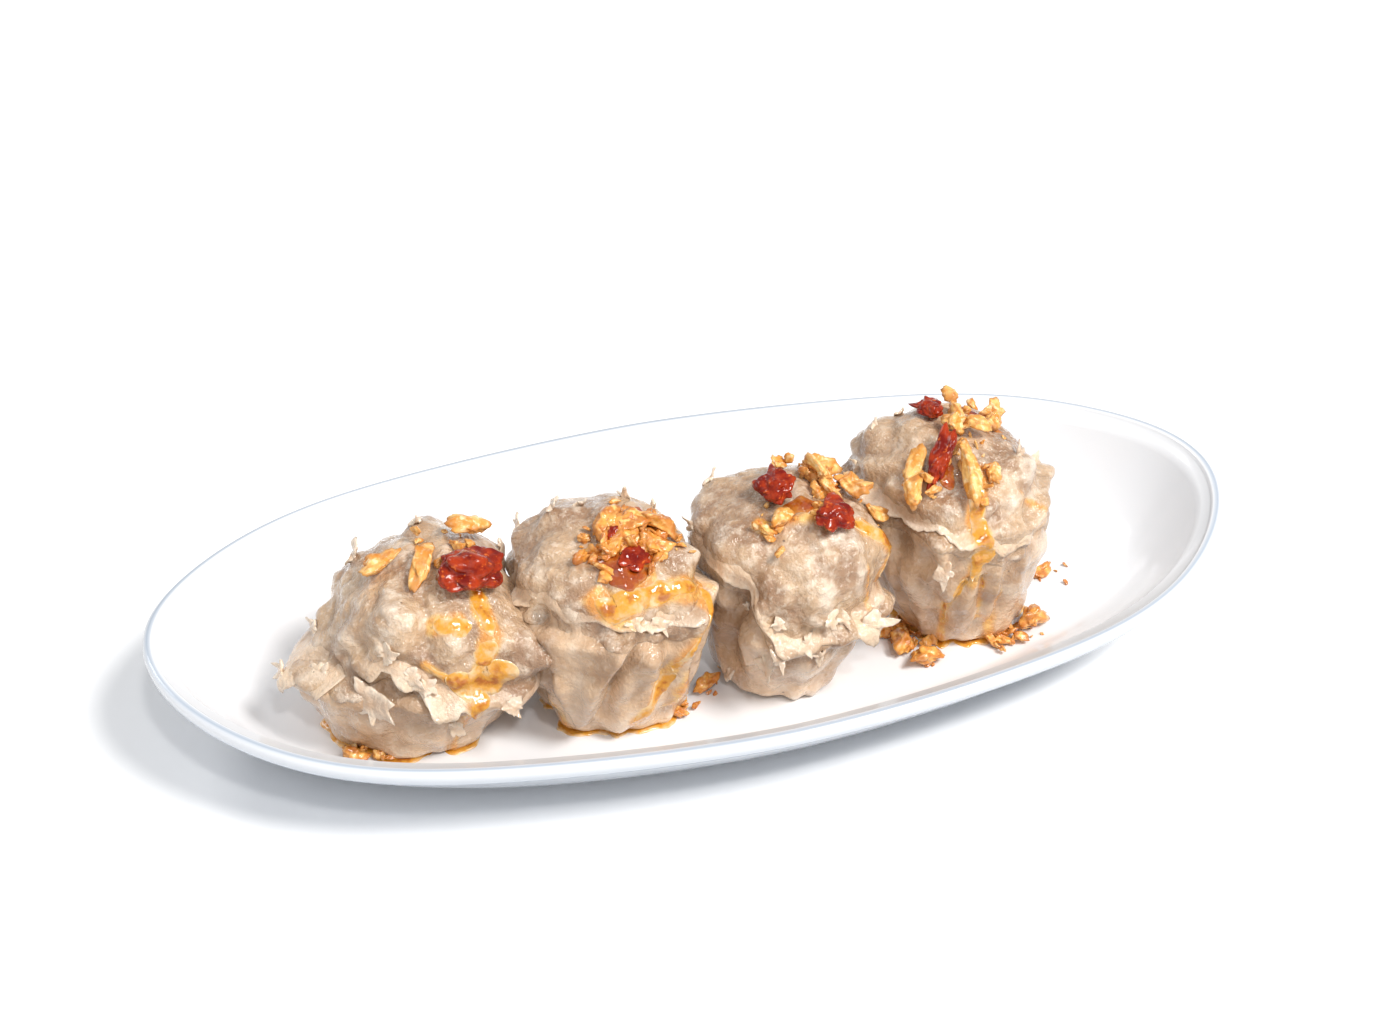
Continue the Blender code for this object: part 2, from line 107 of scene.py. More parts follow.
def make_piece(name, points, faces, material, replaced=(), turn_out=True):
    """A smooth mesh object that rides on the part, from its points and faces.

    With turn_out, every face is turned to look outward. A thin strip goes without, as the way
    out can't be told from its form, and gives its faces the right way round itself.
    """
    mesh = bpy.data.meshes.new(name)
    mesh.from_pydata(np.asarray(points).tolist(), [], [tuple(face) for face in faces])
    if turn_out:
        turned = bmesh.new()
        turned.from_mesh(mesh)
        bmesh.ops.recalc_face_normals(turned, faces=turned.faces)
        turned.to_mesh(mesh)
        turned.free()
    mesh.shade_smooth()
    piece = bpy.data.objects.new(name, mesh)
    bpy.context.scene.collection.objects.link(piece)
    mesh.materials.append(material)
    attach(piece, "root")
    if replaced:
        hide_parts(*replaced)
    print(name, len(mesh.vertices), "points")
    return piece


def paint(piece, name, values):
    """Stores one number per point, which a material reads back by name."""
    layer = piece.data.attributes.new(name, "FLOAT", "POINT")
    layer.data.foreach_set("value", np.asarray(values, dtype=np.float32).reshape(-1))


def ripple(points, size, seed):
    """Smooth noise from -1 to 1 at each point, with bumps about this size across."""
    shift = Vector((seed * 3.1, seed * 1.7, seed * 0.9))
    flat = np.asarray(points).reshape(-1, 3) / size
    found = [noise.noise(Vector(point) + shift) for point in flat]
    return np.array(found).reshape(np.asarray(points).shape[:-1])


def crumble(points, size, seed):
    """Cell noise: 0 at the heart of each crumb and about 0.5 at the cracks between crumbs."""
    shift = Vector((seed * 2.3, seed * 0.7, seed * 1.9))
    flat = np.asarray(points).reshape(-1, 3) / size
    found = [noise.voronoi(Vector(point) + shift)[0][0] for point in flat]
    return np.array(found).reshape(np.asarray(points).shape[:-1])


def billow(points, size, seed):
    """Rounded lumps with sharp creases between them, from about -0.4 to 0.6."""
    return np.sqrt(ripple(points, size, seed) ** 2 + 0.0016) * 1.6 - 0.4


def smooth_step(values):
    """An eased ramp from 0 to 1, flat at both ends."""
    values = np.clip(values, 0.0, 1.0)
    return values * values * (3.0 - 2.0 * values)


# %% [markdown]
# ## Helpers for materials
#
# Every finish is a small network of nodes on a Principled shader. These helpers add a node,
# set its inputs and join it up, so that each material reads as a short recipe.

# %% Material helpers
class Recipe:
    """A material under construction: its node tree and its Principled shader."""

    def __init__(self, name, **settings):
        self.material = bpy.data.materials.new(name)
        self.material.use_nodes = True
        self.tree = self.material.node_tree
        self.shader = self.tree.nodes["Principled BSDF"]
        self.set(self.shader, settings)

    def set(self, node, inputs):
        """Sets inputs by name: a socket is linked, and anything else is written in."""
        for key, value in inputs.items():
            if isinstance(value, bpy.types.NodeSocket):
                self.tree.links.new(value, node.inputs[key])
            else:
                node.inputs[key].default_value = value

    def node(self, kind, inputs=None, **options):
        """A new node of this kind, with its inputs and options set."""
        node = self.tree.nodes.new(kind)
        for key, value in options.items():
            setattr(node, key, value)
        self.set(node, inputs or {})
        return node

    def place(self):
        """The place on the object, in metres."""
        return self.node("ShaderNodeTexCoord").outputs["Object"]

    def noise(self, scale, detail=3.0, roughness=0.5):
        inputs = {"Vector": self.place(), "Scale": scale, "Detail": detail, "Roughness": roughness}
        return self.node("ShaderNodeTexNoise", inputs).outputs["Fac"]

    def span(self, value, low, high, out_low=0.0, out_high=1.0):
        """Maps a value from one range to another, eased at both ends."""
        inputs = {0: value, 1: low, 2: high, 3: out_low, 4: out_high}
        return self.node("ShaderNodeMapRange", inputs, interpolation_type="SMOOTHSTEP").outputs[0]

    def mix(self, share, first, second):
        """Blends two colours, each a socket or three numbers."""
        node = self.node("ShaderNodeMix", {0: share}, data_type="RGBA")
        colours = [socket for socket in node.inputs if socket.type == "RGBA"]
        for socket, value in zip(colours, (first, second)):
            if isinstance(value, bpy.types.NodeSocket):
                self.tree.links.new(value, socket)
            else:
                socket.default_value = (*value, 1.0)
        return next(socket for socket in node.outputs if socket.type == "RGBA")

    def math(self, operation, first, second):
        return self.node("ShaderNodeMath", {0: first, 1: second}, operation=operation).outputs[0]

    def stored(self, name):
        """A number that paint stored on the points."""
        return self.node("ShaderNodeAttribute", None, attribute_name=name).outputs["Fac"]

    def bump(self, height, strength, distance, normal=None):
        """Relief from a height, laid over the relief already given."""
        inputs = {"Height": height, "Strength": strength, "Distance": distance}
        if normal is not None:
            inputs["Normal"] = normal
        return self.node("ShaderNodeBump", inputs).outputs["Normal"]

    def finish(self, **links):
        """Links colour, roughness and relief, with the same relief under the clear coat."""
        names = {"colour": "Base Color", "roughness": "Roughness", "normal": "Normal"}
        self.set(self.shader, {names[key]: value for key, value in links.items()})
        if "normal" in links:
            self.set(self.shader, {"Coat Normal": links["normal"]})
        return self.material


# %% [markdown]
# ## The plate
#
# Plates like this are pressed from melamine: hard, white and glossy, with a thick rounded lip.
# Its outline is two shallow side curves that meet two blunter end curves at soft corners. It
# could be a subdivided block, but a loft of rings keeps the lip crisp and the floor truly flat,
# so each ring is the outline scaled to its own size and lifted to its own height.

# %% The plate's finish: glossy white melamine with faint scuffs
# Painted shade under the plate's lip, and a painted dark reflection line at its edge, in a cool grey-blue
PAINTED_UNDERSIDE_SHADE = (0.36, 0.42, 0.50)


def melamine():
    """White melamine, with painted shade where the stored value marks the lip's underside, and a painted
    dark reflection line where it marks the lip's edge.
    """
    recipe = Recipe("melamine", **{"Coat Weight": 0.35, "Coat Roughness": 0.06, "IOR": 1.5})
    scuff = recipe.noise(60.0, 6.0, 0.62)
    cloud = recipe.noise(9.0, 3.0)
    colour = recipe.mix(recipe.span(cloud, 0.35, 0.7), (0.83, 0.84, 0.86), (0.87, 0.875, 0.89))
    # Painted shade and the painted reflection line, where the stored under value marks the lip
    colour = recipe.mix(recipe.stored("under"), colour, PAINTED_UNDERSIDE_SHADE)
    roughness = recipe.span(scuff, 0.35, 0.75, 0.14, 0.26)
    wave = recipe.bump(recipe.noise(35.0, 2.0), 0.06, 0.0006)
    return recipe.finish(colour=colour, roughness=roughness, normal=wave)


# %% The plate's outline and rings
PLATE_SPOKES = 288
END_SHARE = 0.62
SIDE_POWER, END_CROWN = 1.73, 0.18
half_width = (plate_high.y - plate_low.y) / 2
end_half_width = END_SHARE * half_width
phases = np.linspace(0.0, 2.0 * math.pi, PLATE_SPOKES, endpoint=False)
plate_angles = np.arctan2(half_width * np.sin(phases), half_length * np.cos(phases))


def outline_radius(corner_power):
    """Distance from the middle to the rim along each spoke, found by halving an interval."""
    low, high = np.zeros(PLATE_SPOKES), np.full(PLATE_SPOKES, 1.3 * half_length)
    for _ in range(40):
        middle = (low + high) / 2
        x, y = middle * np.cos(plate_angles), middle * np.sin(plate_angles)
        reach = np.abs(x) / half_length
        side = half_width - (half_width - end_half_width) * reach**SIDE_POWER
        tip = half_length * (1.0 - END_CROWN * (y / end_half_width) ** 2)
        side, tip = np.maximum(side, 0.05 * half_length), np.maximum(tip, 0.05 * half_length)
        inside = (np.abs(y) / side) ** corner_power + (np.abs(x) / tip) ** corner_power < 1.0
        low, high = np.where(inside, middle, low), np.where(inside, high, middle)
    return low


RIM_HEIGHT, RIM_SWELL, RIM_UPTURN = 0.021, 0.0019, 0.0021
FLOOR_TOP = 0.0055
FLOOR_SCALE, FOOT_SCALE = (0.82, 0.65), (0.72, 0.55)
LIP_WIDTH, LIP_HEIGHT, WALL = 0.0034, 0.0038, 0.0031
RIM_CORNER, FLOOR_CORNER = 16.0, 6.0


def plate_ring(lift, scale=(1.0, 1.0), inset=0.0, corner=RIM_CORNER):
    """One ring of points. lift turns the rim's height at each spoke into the ring's height."""
    radius = outline_radius(corner)
    reach = np.abs(radius * np.cos(plate_angles)) / half_length
    rim = RIM_HEIGHT + RIM_SWELL * reach**2 + RIM_UPTURN * reach**8
    x = (radius - inset) * np.cos(plate_angles) * scale[0]
    y = (radius - inset) * np.sin(plate_angles) * scale[1]
    return np.stack([x, y, np.broadcast_to(lift(rim), x.shape)], axis=-1)


def wall_ring(share, drop=0.0, outward=0.0):
    """A ring on the curved wall, from 0 at the floor's edge to 1 at the lip."""
    reach = (1.0 - LIP_WIDTH / half_length, 1.0 - LIP_WIDTH / half_width)
    scale = [low + (high - low) * share for low, high in zip(FLOOR_SCALE, reach)]
    corner = FLOOR_CORNER + (RIM_CORNER - FLOOR_CORNER) * share**2
    rise = share**1.75
    return plate_ring(
        lambda rim: FLOOR_TOP + (rim - 0.0004 - FLOOR_TOP) * rise - drop, scale, -outward, corner
    )


# %% The plate's loft, over the lip and back underneath
LIP_STEPS = 7


LIP_ROLL = 0.0009
# The lip's outer face: (how far down as a share of its height, inset)
LIP_FACE = ((0.45, 0.0001), (0.75, 0.0003), (0.95, 0.0008), (1.05, 0.0016), (1.2, 0.0034))


def lip_rings():
    """A rounded roll from the wall's top, over the crest and down to the lip's underside."""
    rings = []
    for step in range(LIP_STEPS + 1):
        turn = math.pi * step / LIP_STEPS
        across = 0.5 + 0.5 * math.cos(turn)
        bulge = math.sin(turn) ** 0.7
        inset = LIP_WIDTH * 0.62 * across
        rings.append(plate_ring(lambda rim: rim - LIP_ROLL + LIP_ROLL * bulge, inset=inset))
    for drop, inset in LIP_FACE:
        rings.append(plate_ring(lambda rim: rim - LIP_HEIGHT * drop, inset=inset))
    return rings


plate_rings = []
for size in (0.02, 0.25, 0.5, 0.75, 0.93):
    floor_scale = (size * FLOOR_SCALE[0], size * FLOOR_SCALE[1])
    plate_rings.append(plate_ring(lambda rim: FLOOR_TOP, floor_scale, 0.0, FLOOR_CORNER))
plate_rings += [wall_ring(share) for share in np.linspace(0.0, 0.97, 16)]
plate_rings += lip_rings()
plate_rings += [wall_ring(share, WALL, 0.0007) for share in (0.8, 0.66, 0.5, 0.36, 0.22)]
# The foot ring under the floor: (height, scale, inset)
foot_edges = (
    (0.0022, (0.79, 0.61), 0.0), (0.0022, FOOT_SCALE, -0.0015), (0.0002, FOOT_SCALE, -0.0013),
    (0.0, FOOT_SCALE, -0.001), (0.0, FOOT_SCALE, 0.001), (0.0002, FOOT_SCALE, 0.0014),
    (0.0022, FOOT_SCALE, 0.0018), (0.0022, (0.3, 0.2), 0.0), (0.0022, (0.01, 0.01), 0.0),
)
for height, scale, inset in foot_edges:
    plate_rings.append(plate_ring(lambda rim: height, scale, inset, FLOOR_CORNER))
plate_points = np.concatenate([ring[::-1] for ring in plate_rings])
plate_quads = ring_faces(len(plate_rings), PLATE_SPOKES)[:, ::-1]
first_cap = [list(range(PLATE_SPOKES))]
last_row = (len(plate_rings) - 1) * PLATE_SPOKES
last_cap = [list(range(last_row, last_row + PLATE_SPOKES))[::-1]]
plate_faces = [*plate_quads.tolist(), *first_cap, *last_cap]
plate = make_piece("plate_melamine", plate_points, plate_faces, melamine(), ["plate"])
# How much painted shade each ring carries: none inside, a painted dark reflection line at the lip's edge,
# and painted shade underneath
shaded = [0.0] * 24 + [0.6, 0.9, 0.4, 0.12, 0.12, 0.3, 0.6, 0.9, 0.95, 0.75] + [0.55] * 20
paint(plate, "under", np.repeat(shaded[:len(plate_rings)], PLATE_SPOKES))

# %% [markdown]
# ## The skin of each dumpling
#
# The solids of the fillings say how large each dumpling is, how it leans, and where its
# neighbours press it flat. Casting a ray from the middle of each one in every direction reads
# that form back as a grid of distances, which smoothing frees from the solid's flat faces. Then
# soft bulges, pinches and folds are added to the grid one by one, each at its own direction, much
# as a sculptor would push and pull it.

# %% Directions from a dumpling's middle
RINGS, SPOKES = 150, 280
# Noise over a dumpling is read on a sphere about as large as it is, so that its size is true.
NOISE_RADIUS = 0.02
elevations = np.radians(np.linspace(-88.8, 88.8, RINGS))
azimuths = np.linspace(0.0, 2.0 * math.pi, SPOKES, endpoint=False)


def toward(azimuth, elevation):
    """Unit vectors for directions in radians."""
    azimuth, elevation = np.broadcast_arrays(azimuth, elevation)
    flat = np.cos(elevation)
    return np.stack([flat * np.cos(azimuth), flat * np.sin(azimuth), np.sin(elevation)], axis=-1)


directions = toward(azimuths[None, :], elevations[:, None])


def blurred(field, times):
    """Averages each cell with its neighbours, round the spokes and along the rings."""
    for _ in range(times):
        field = (np.roll(field, 1, 1) + 2.0 * field + np.roll(field, -1, 1)) / 4.0
        padded = np.concatenate([field[:1], field, field[-1:]])
        field = (padded[:-2] + 2.0 * field + padded[2:]) / 4.0
    return field


def tree_of(*meshes):
    """The faces of all the meshes, ready for ray casts."""
    points, faces = [], []
    for mesh in meshes:
        start = len(points)
        points += [vertex.co for vertex in mesh.vertices]
        faces += [[start + index for index in face.vertices] for face in mesh.polygons]
    return BVHTree.FromPolygons(points, faces)


CAST_FROM = 0.06


def solid_radius(name, centre):
    """The distance from the centre to a solid's outer face along each direction, or 0."""
    tree = tree_of(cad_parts[name].data)
    hits = []
    for way in directions.reshape(-1, 3):
        way = Vector(way)
        reach = tree.ray_cast(centre + way * CAST_FROM, -way)[3]
        hits.append(CAST_FROM - reach if reach else 0.0)
    return np.array(hits).reshape(RINGS, SPOKES)


# %% [markdown]
# ## Bulges, pinches and folds
#
# A bulge is a round swelling or hollow, a pinch is the same with a point, and a fold is a ridge
# or groove along a line. All fade with the angle from their middle. Directions are in degrees
# round the dumpling and above its middle, and depths in millimetres, with hollows below zero.

# %% Bulges, pinches and folds
def unit(azimuth, elevation):
    """The unit vector for one direction in degrees."""
    return toward(math.radians(azimuth), math.radians(elevation))


def bulge(azimuth, elevation, spread, power=2.0):
    """A round swelling that fades from 1 as the angle grows. A low power gives it a point."""
    angle = np.arccos(np.clip(directions @ unit(azimuth, elevation), -1.0, 1.0))
    return np.exp(-((np.degrees(angle) / spread) ** power))


def fold(stops, spread):
    """A ridge through directions given as (azimuth, elevation), as wide as the spread."""
    nearest = np.full((RINGS, SPOKES), -1.0)
    for first, last in zip(stops, stops[1:]):
        for share in np.linspace(0.0, 1.0, 14):
            way = unit(*first) * (1.0 - share) + unit(*last) * share
            nearest = np.maximum(nearest, directions @ (way / np.linalg.norm(way)))
    angle = np.degrees(np.arccos(np.clip(nearest, -1.0, 1.0)))
    return np.exp(-((angle / spread) ** 2))


# Bulges and pinches: {dumpling: ((azimuth, elevation, spread in degrees, depth in mm), ...)}
BULGES = {
    1: ((-104, 44, 14, 1.5), (-150, 28, 11, 1.5), (-81, 22, 12, 1.2), (-20, 20, 18, 0.6),
        (138, 39, 8, 1.6), (-165, -10, 12, 1.4), (172, 28, 18, -1.4), (-128, 40, 8, 0.9),
        (60, 30, 20, 0.6), (77, 62, 9, 1.4), (-130, 8, 7, 1.2), (-20, 48, 14, -0.9),
        (-150, -20, 12, 0.8), (-105, -12, 12, -1.4), (12, 26, 9, 1.2), (178, -20, 20, 5.6),
        (-150, -24, 18, 3.0)),
    2: ((-80, 1, 7, 3.0), (-79, -11, 6, 2.0), (-64, 10, 8, -2.2), (-84, 18, 8, -2.8),
        (-172, 22, 14, 1.4), (-126, 52, 12, 0.9), (-47, 16, 9, 1.0), (80, 30, 20, 1.0),
        (142, 36, 10, 1.6), (-148, 22, 9, -0.5), (-134, 4, 11, 1.0), (51, 60, 9, 1.2),
        (-100, 36, 9, 0.8), (-130, 36, 9, 1.0)),
    3: ((-88, 40, 14, 1.4), (-118, 14, 8, 1.2), (135, 48, 18, 1.2), (-64, 18, 10, 1.2),
        (-152, 38, 12, 1.4), (-80, -34, 16, 0.8), (-30, 25, 14, 0.8), (70, 20, 22, 0.9),
        (-100, 62, 10, 0.7), (-92, 8, 9, 1.0), (-105, 24, 9, 0.9)),
    4: ((149, 48, 16, 1.8), (-28, 34, 10, 1.2), (-58, 34, 9, 0.8), (-165, 14, 12, 1.2),
        (-40, 12, 9, 1.2), (-130, 40, 10, 1.2), (80, 20, 20, 0.8), (-120, -12, 11, 1.1),
        (-42, 50, 9, 1.0), (-118, 20, 6, 0.9), (-142, 12, 10, -2.0)),
}
PINCHES = {
    1: ((-47, 5, 20, 5.0), (-47, 8, 9, 4.5), (175, 0, 9, 2.0), (-174, -10, 9, 2.4)),
    2: ((146, 34, 7, 1.4), (138, 58, 6, 1.0)),
    3: ((-24, 22, 7, 1.2), (172, 36, 7, 1.2)),
    4: ((-12, 26, 8, 1.0), (165, 30, 6, 0.9)),
}
# Folds: {dumpling: ((stops as directions, half-width in degrees, depth in mm), ...)}
FOLDS = {
    1: (([(-150, 10), (-128, 24), (-108, 20)], 5, -1.1), ([(-134, 44), (-150, 62)], 5, -1.1),
        ([(-92, 56), (-94, 26)], 5, -0.9), ([(-121, 23), (-108, 24)], 4, 1.2),
        ([(-56, 40), (-50, 10)], 5, -0.7), ([(-60, -16), (-66, -48)], 4, 0.8),
        ([(-170, 8), (-160, 30)], 5, -0.9), ([(-95, -18), (-90, -48)], 5, 0.9)),
    2: (([(-89, 22), (-103, 3), (-113, -14), (-121, -42)], 5, 2.6),
        ([(-92, 10), (-101, -12), (-110, -42)], 4.5, -2.6), ([(-133, -10), (-128, -42)], 3.5, 1.2),
        ([(-141, 8), (-138, -40)], 5, -1.2), ([(-64, 0), (-72, -30)], 4, -1.2),
        ([(-54, 15), (-59, -38)], 5, 1.0), ([(-165, 5), (-160, -40)], 5, -0.9),
        ([(-150, 42), (-148, 18)], 5, -1.1)),
    3: (([(-124, 16), (-119, 1), (-112, -10), (-118, -26)], 4, 1.6),
        ([(-136, 20), (-142, -8), (-154, -42)], 9, -3.0), ([(-95, 2), (-84, -6)], 5, -1.2),
        ([(-75, 10), (-60, -2)], 5, -1.1), ([(-122, 62), (-88, 46)], 5, -0.7),
        ([(-70, -15), (-78, -50)], 5, -0.8), ([(-137, -6), (-132, -28)], 3, 1.4),
        ([(-120, 44), (-128, 32)], 4, -0.8)),
    4: (([(-118, 20), (-114, 8), (-122, -4)], 4, 1.7), ([(-98, -6), (-110, -30), (-109, -60)], 3, -1.4),
        ([(-98, -20), (-98, -58)], 4, 0.9), ([(-88, -8), (-85, -58)], 3.2, -1.3),
        ([(-74, -10), (-72, -55)], 4, -1.1), ([(-145, 0), (-140, -50)], 5, -1.1),
        ([(-152, 52), (-172, 38)], 5, -1.0), ([(-80, 0), (-78, -50)], 4, 0.8),
        ([(-30, 20), (-50, 6)], 4, -0.9), ([(-120, 46), (-100, 40)], 4, -0.7)),
}
# Painted shade in hollows, and coarse crumbs: (azimuth, elevation, spread in degrees, and a strength for the
# painted shade)
PAINTED_SHADE_SPOTS = {
    1: ((-104, -14, 13, 0.85), (-150, -40, 16, 0.4), (-142, 2, 8, 0.5), (-88, -14, 9, 0.5),
        (-176, 24, 16, 0.3), (77, 60, 16, 0.4)),
    2: ((-86, 19, 6, 0.9), (-68, 13, 9, 0.7), (-146, 16, 13, 0.1), (-100, -8, 6, 0.4),
        (150, 50, 20, 0.35), (-170, -30, 16, 0.5), (-66, -14, 5, 0.4)),
    3: ((-137, 12, 12, 1.0), (-144, -12, 12, 1.0), (-152, -34, 11, 0.9), (150, 48, 26, 0.3),
        (-112, -34, 8, 0.25), (-30, -30, 14, 0.4)),
    4: ((-141, 14, 10, 0.85), (-126, 14, 7, 0.6), (-104, -28, 5, 0.35), (155, 50, 20, 0.3),
        (-150, -30, 14, 0.5), (-86, -30, 4, 0.35)),
}
ROUGH = {
    1: ((-104, 43, 13), (-82, 40, 8)),
    2: ((-76, 32, 12),),
    3: ((-80, 36, 24), (-84, 4, 14)),
    4: ((-62, 46, 16),),
}

# %% [markdown]
# ## The lip of dough
#
# The cook gathers a thin disc of dough round the meat. Its edge goes up the side, flares out
# and hangs over in a ragged lip, and the cup below the lip is drawn in with pleats. Where the
# lip runs and how strong it stands differ all round each dumpling, so a few stops say both.

# %% Where the lip runs: {dumpling: ((azimuth, elevation, strength), ...)}
LIPS = {
    1: ((-180, -8, 1.0), (-165, -6, 0.8), (-150, 0, 0.5), (-135, 6, 0.4), (-120, 13, 0.7),
        (-107, 11, 1.1), (-95, 4, 1.2), (-84, -4, 1.1), (-73, -9, 0.8), (-60, -11, 0.7),
        (-45, -10, 0.7), (-32, -8, 0.7), (-10, -2, 0.5), (30, 2, 0.5), (90, 0, 0.6), (140, -4, 0.7)),
    2: ((-180, 26, 0.2), (-150, 30, 0.2), (-125, 32, 0.3), (-108, 31, 0.9), (-98, 26, 1.0),
        (-89, 27, 1.1), (-70, 22, 1.2), (-57, 17, 1.0), (-47, 17, 0.6), (0, 22, 0.3), (90, 26, 0.3)),
    3: ((-180, 28, 0.5), (-160, 29, 0.8), (-150, 30, 1.0), (-133, 27, 1.2), (-123, 10, 1.0),
        (-112, -6, 0.35), (-97, -8, 0.12), (-84, -10, 0.12), (-66, -9, 0.4), (-59, -7, 0.8),
        (-45, 0, 0.5), (0, 6, 0.3), (90, 12, 0.3), (140, 20, 0.3)),
    4: ((-180, 33, 0.5), (-166, 32, 0.8), (-154, 29, 1.1), (-142, 31, 1.2), (-123, 31, 1.1),
        (-110, 27, 0.9), (-98, 20, 0.4), (-80, 12, 0.3), (-53, 8, 0.3), (-10, 10, 0.4), (60, 18, 0.3),
        (120, 26, 0.4)),
}
DOUGH_OFFSET, CUP_INSET, MOST_DOUGH = 0.5 * MM, 0.3 * MM, 5.0 * MM
SKIN_BLUR, PINCH_POWER, PAINTED_SHADE_POWER = 9, 1.35, 3.0
DOUGH_START, DOUGH_FADE = math.radians(8.0), math.radians(30.0)
FOOT_START, FOOT_FADE = math.radians(-64.0), math.radians(18.0)


def around(stops, column, angle):
    """A value given at stops round the dumpling, eased between them, at angles in radians."""
    stops = sorted(stops)
    places = [stop[0] for stop in stops]
    values = [stop[column] for stop in stops]
    return np.interp(np.degrees(angle), places, values, period=360.0)


# %% Read each dumpling's form
skins = {}
for number in range(1, 5):
    low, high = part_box(f"filling_{number}")
    centre = (low + high) / 2
    filling = solid_radius(f"filling_{number}", centre)
    wrapped = np.minimum(solid_radius(f"wrapper_{number}", centre), filling + MOST_DOUGH)
    core = blurred(np.maximum(filling, wrapped - CUP_INSET), SKIN_BLUR)
    lip = np.radians(around(LIPS[number], 1, azimuths))[None, :]
    below = 1.0 - smooth_step((elevations[:, None] - lip - DOUGH_START) / DOUGH_FADE)
    plain = core + DOUGH_OFFSET * below
    form = plain.copy()
    for azimuth, elevation, spread, depth in BULGES[number]:
        form += bulge(azimuth, elevation, spread) * depth * MM
    for azimuth, elevation, spread, depth in PINCHES[number]:
        form += bulge(azimuth, elevation, spread, PINCH_POWER) * depth * MM
    for stops, spread, depth in FOLDS[number]:
        form += fold(stops, spread) * depth * MM
    foot = smooth_step((elevations - FOOT_START) / FOOT_FADE)[:, None]
    form = plain + (form - plain) * foot
    rough = np.zeros((RINGS, SPOKES))
    for azimuth, elevation, spread in ROUGH[number]:
        rough = np.maximum(rough, bulge(azimuth, elevation, spread))
    # Painted shade in the hollows listed above, which the finishes darken
    dark = np.zeros((RINGS, SPOKES))
    for azimuth, elevation, spread, amount in PAINTED_SHADE_SPOTS[number]:
        dark = np.maximum(dark, amount * bulge(azimuth, elevation, spread, PAINTED_SHADE_POWER))
    skins[number] = {"centre": np.array(centre), "form": form, "rough": rough, "dark": dark}
    print("dumpling", number, "is", round(float(np.median(form)) * 2 / MM, 1), "mm across")


# %% Look a place up on a skin
def look_up(field, azimuth, elevation):
    """A field's value at directions in radians, blended between its cells."""
    column = (np.asarray(azimuth) / (2.0 * math.pi) * SPOKES) % SPOKES
    row = (np.asarray(elevation) - elevations[0]) / (elevations[1] - elevations[0])
    row = np.clip(row, 0.0, RINGS - 1.001)
    left, low = np.floor(column).astype(int), np.floor(row).astype(int)
    across, up = column - left, row - low
    left, right = left % SPOKES, (left + 1) % SPOKES
    bottom = field[low, left] * (1 - across) + field[low, right] * across
    top = field[low + 1, left] * (1 - across) + field[low + 1, right] * across
    return bottom * (1 - up) + top * up


# %% [markdown]
# ## Oil on the skin
#
# Chilli oil soaks into dough and leaves an amber stain, deeper in colour and far glossier than
# the dry parts. The runs are marked as lines over each dumpling, with their widths, and the
# mark is stored on the points so that both the dough and the meat can use it.

# %% Oil runs: (stops as directions, half-width in degrees, strength)
OIL_RUNS = {
    1: (([(-45, 48), (-55, 37), (-61, 23), (-66, 14), (-71, 0), (-76, -12)], 5, 1.0),
        ([(-86, 36), (-75, 34)], 6, 1.0), ([(-96, 16), (-83, 4), (-74, 0)], 3, 0.9),
        ([(-74, -8), (-80, -34), (-84, -52)], 3, 0.8), ([(-150, -60), (-120, -61), (-90, -60)], 4, 0.9),
        ([(165, -30), (-175, -45)], 4, 0.8)),
    2: (([(-110, 40), (-98, 35), (-79, 38), (-64, 36), (-36, 26)], 8, 1.0),
        ([(-86, 56), (-76, 50)], 12, 0.9), ([(-108, 33), (-98, 27), (-84, 27)], 3.5, 0.7),
        ([(-33, 23), (-45, 14), (-59, -3), (-64, -16)], 3, 0.9),
        ([(-66, -20), (-74, -34), (-88, -44)], 3.5, 1.0), ([(-56, -20), (-62, -42)], 5, 0.8),
        ([(-140, -60), (-100, -61), (-60, -58)], 4, 0.9), ([(-150, -40), (-140, -54)], 5, 0.6)),
    3: (([(-60, 60), (-42, 50), (-35, 38), (-25, 20), (-36, 6)], 5, 0.9),
        ([(-140, 60), (-128, 60)], 6, 0.9), ([(-53, 26), (-51, 0), (-56, -30)], 3, 0.6),
        ([(-60, 62), (-105, 66)], 9, 0.6)),
    4: (([(-85, 55), (-94, 44), (-97, 34), (-92, 14), (-98, -6)], 5.5, 1.0),
        ([(-102, -8), (-110, -30), (-109, -62)], 2.4, 0.9), ([(-88, -5), (-86, -40)], 2.4, 0.8),
        ([(-60, 38), (-46, 22)], 2.5, 0.6), ([(-74, -18), (-73, -45)], 2.4, 0.6),
        ([(-150, -62), (-110, -63), (-70, -62), (-30, -60)], 4, 0.9),
        ([(-76, -40), (-68, -56)], 6, 0.6)),
}


def oil_field(number):
    """How oily each direction is, from 0 to 1, with ragged borders."""
    field = np.zeros((RINGS, SPOKES))
    for stops, spread, strength in OIL_RUNS[number]:
        field = np.maximum(field, fold(stops, spread) * strength)
    ragged = ripple(directions * NOISE_RADIUS + number, 2.6 * MM, 5) * 0.35
    return np.clip(smooth_step((field + ragged * (field > 0.02) - 0.25) / 0.45), 0.0, 1.0)


for number in skins:
    skins[number]["oil"] = oil_field(number)

# %% [markdown]
# ## Dough and meat finishes
#
# Steamed wheat dough is translucent: light enters, scatters and comes back warm, so the shader
# carries some subsurface scattering. Its surface is moist, with a soft gloss that varies, faint
# mottling where the meat shows through, and specks of black pepper.

# %% Dough and meat finishes
AMBER, PALE_AMBER, PEPPER = (0.70, 0.27, 0.030), (0.84, 0.50, 0.13), (0.09, 0.045, 0.025)


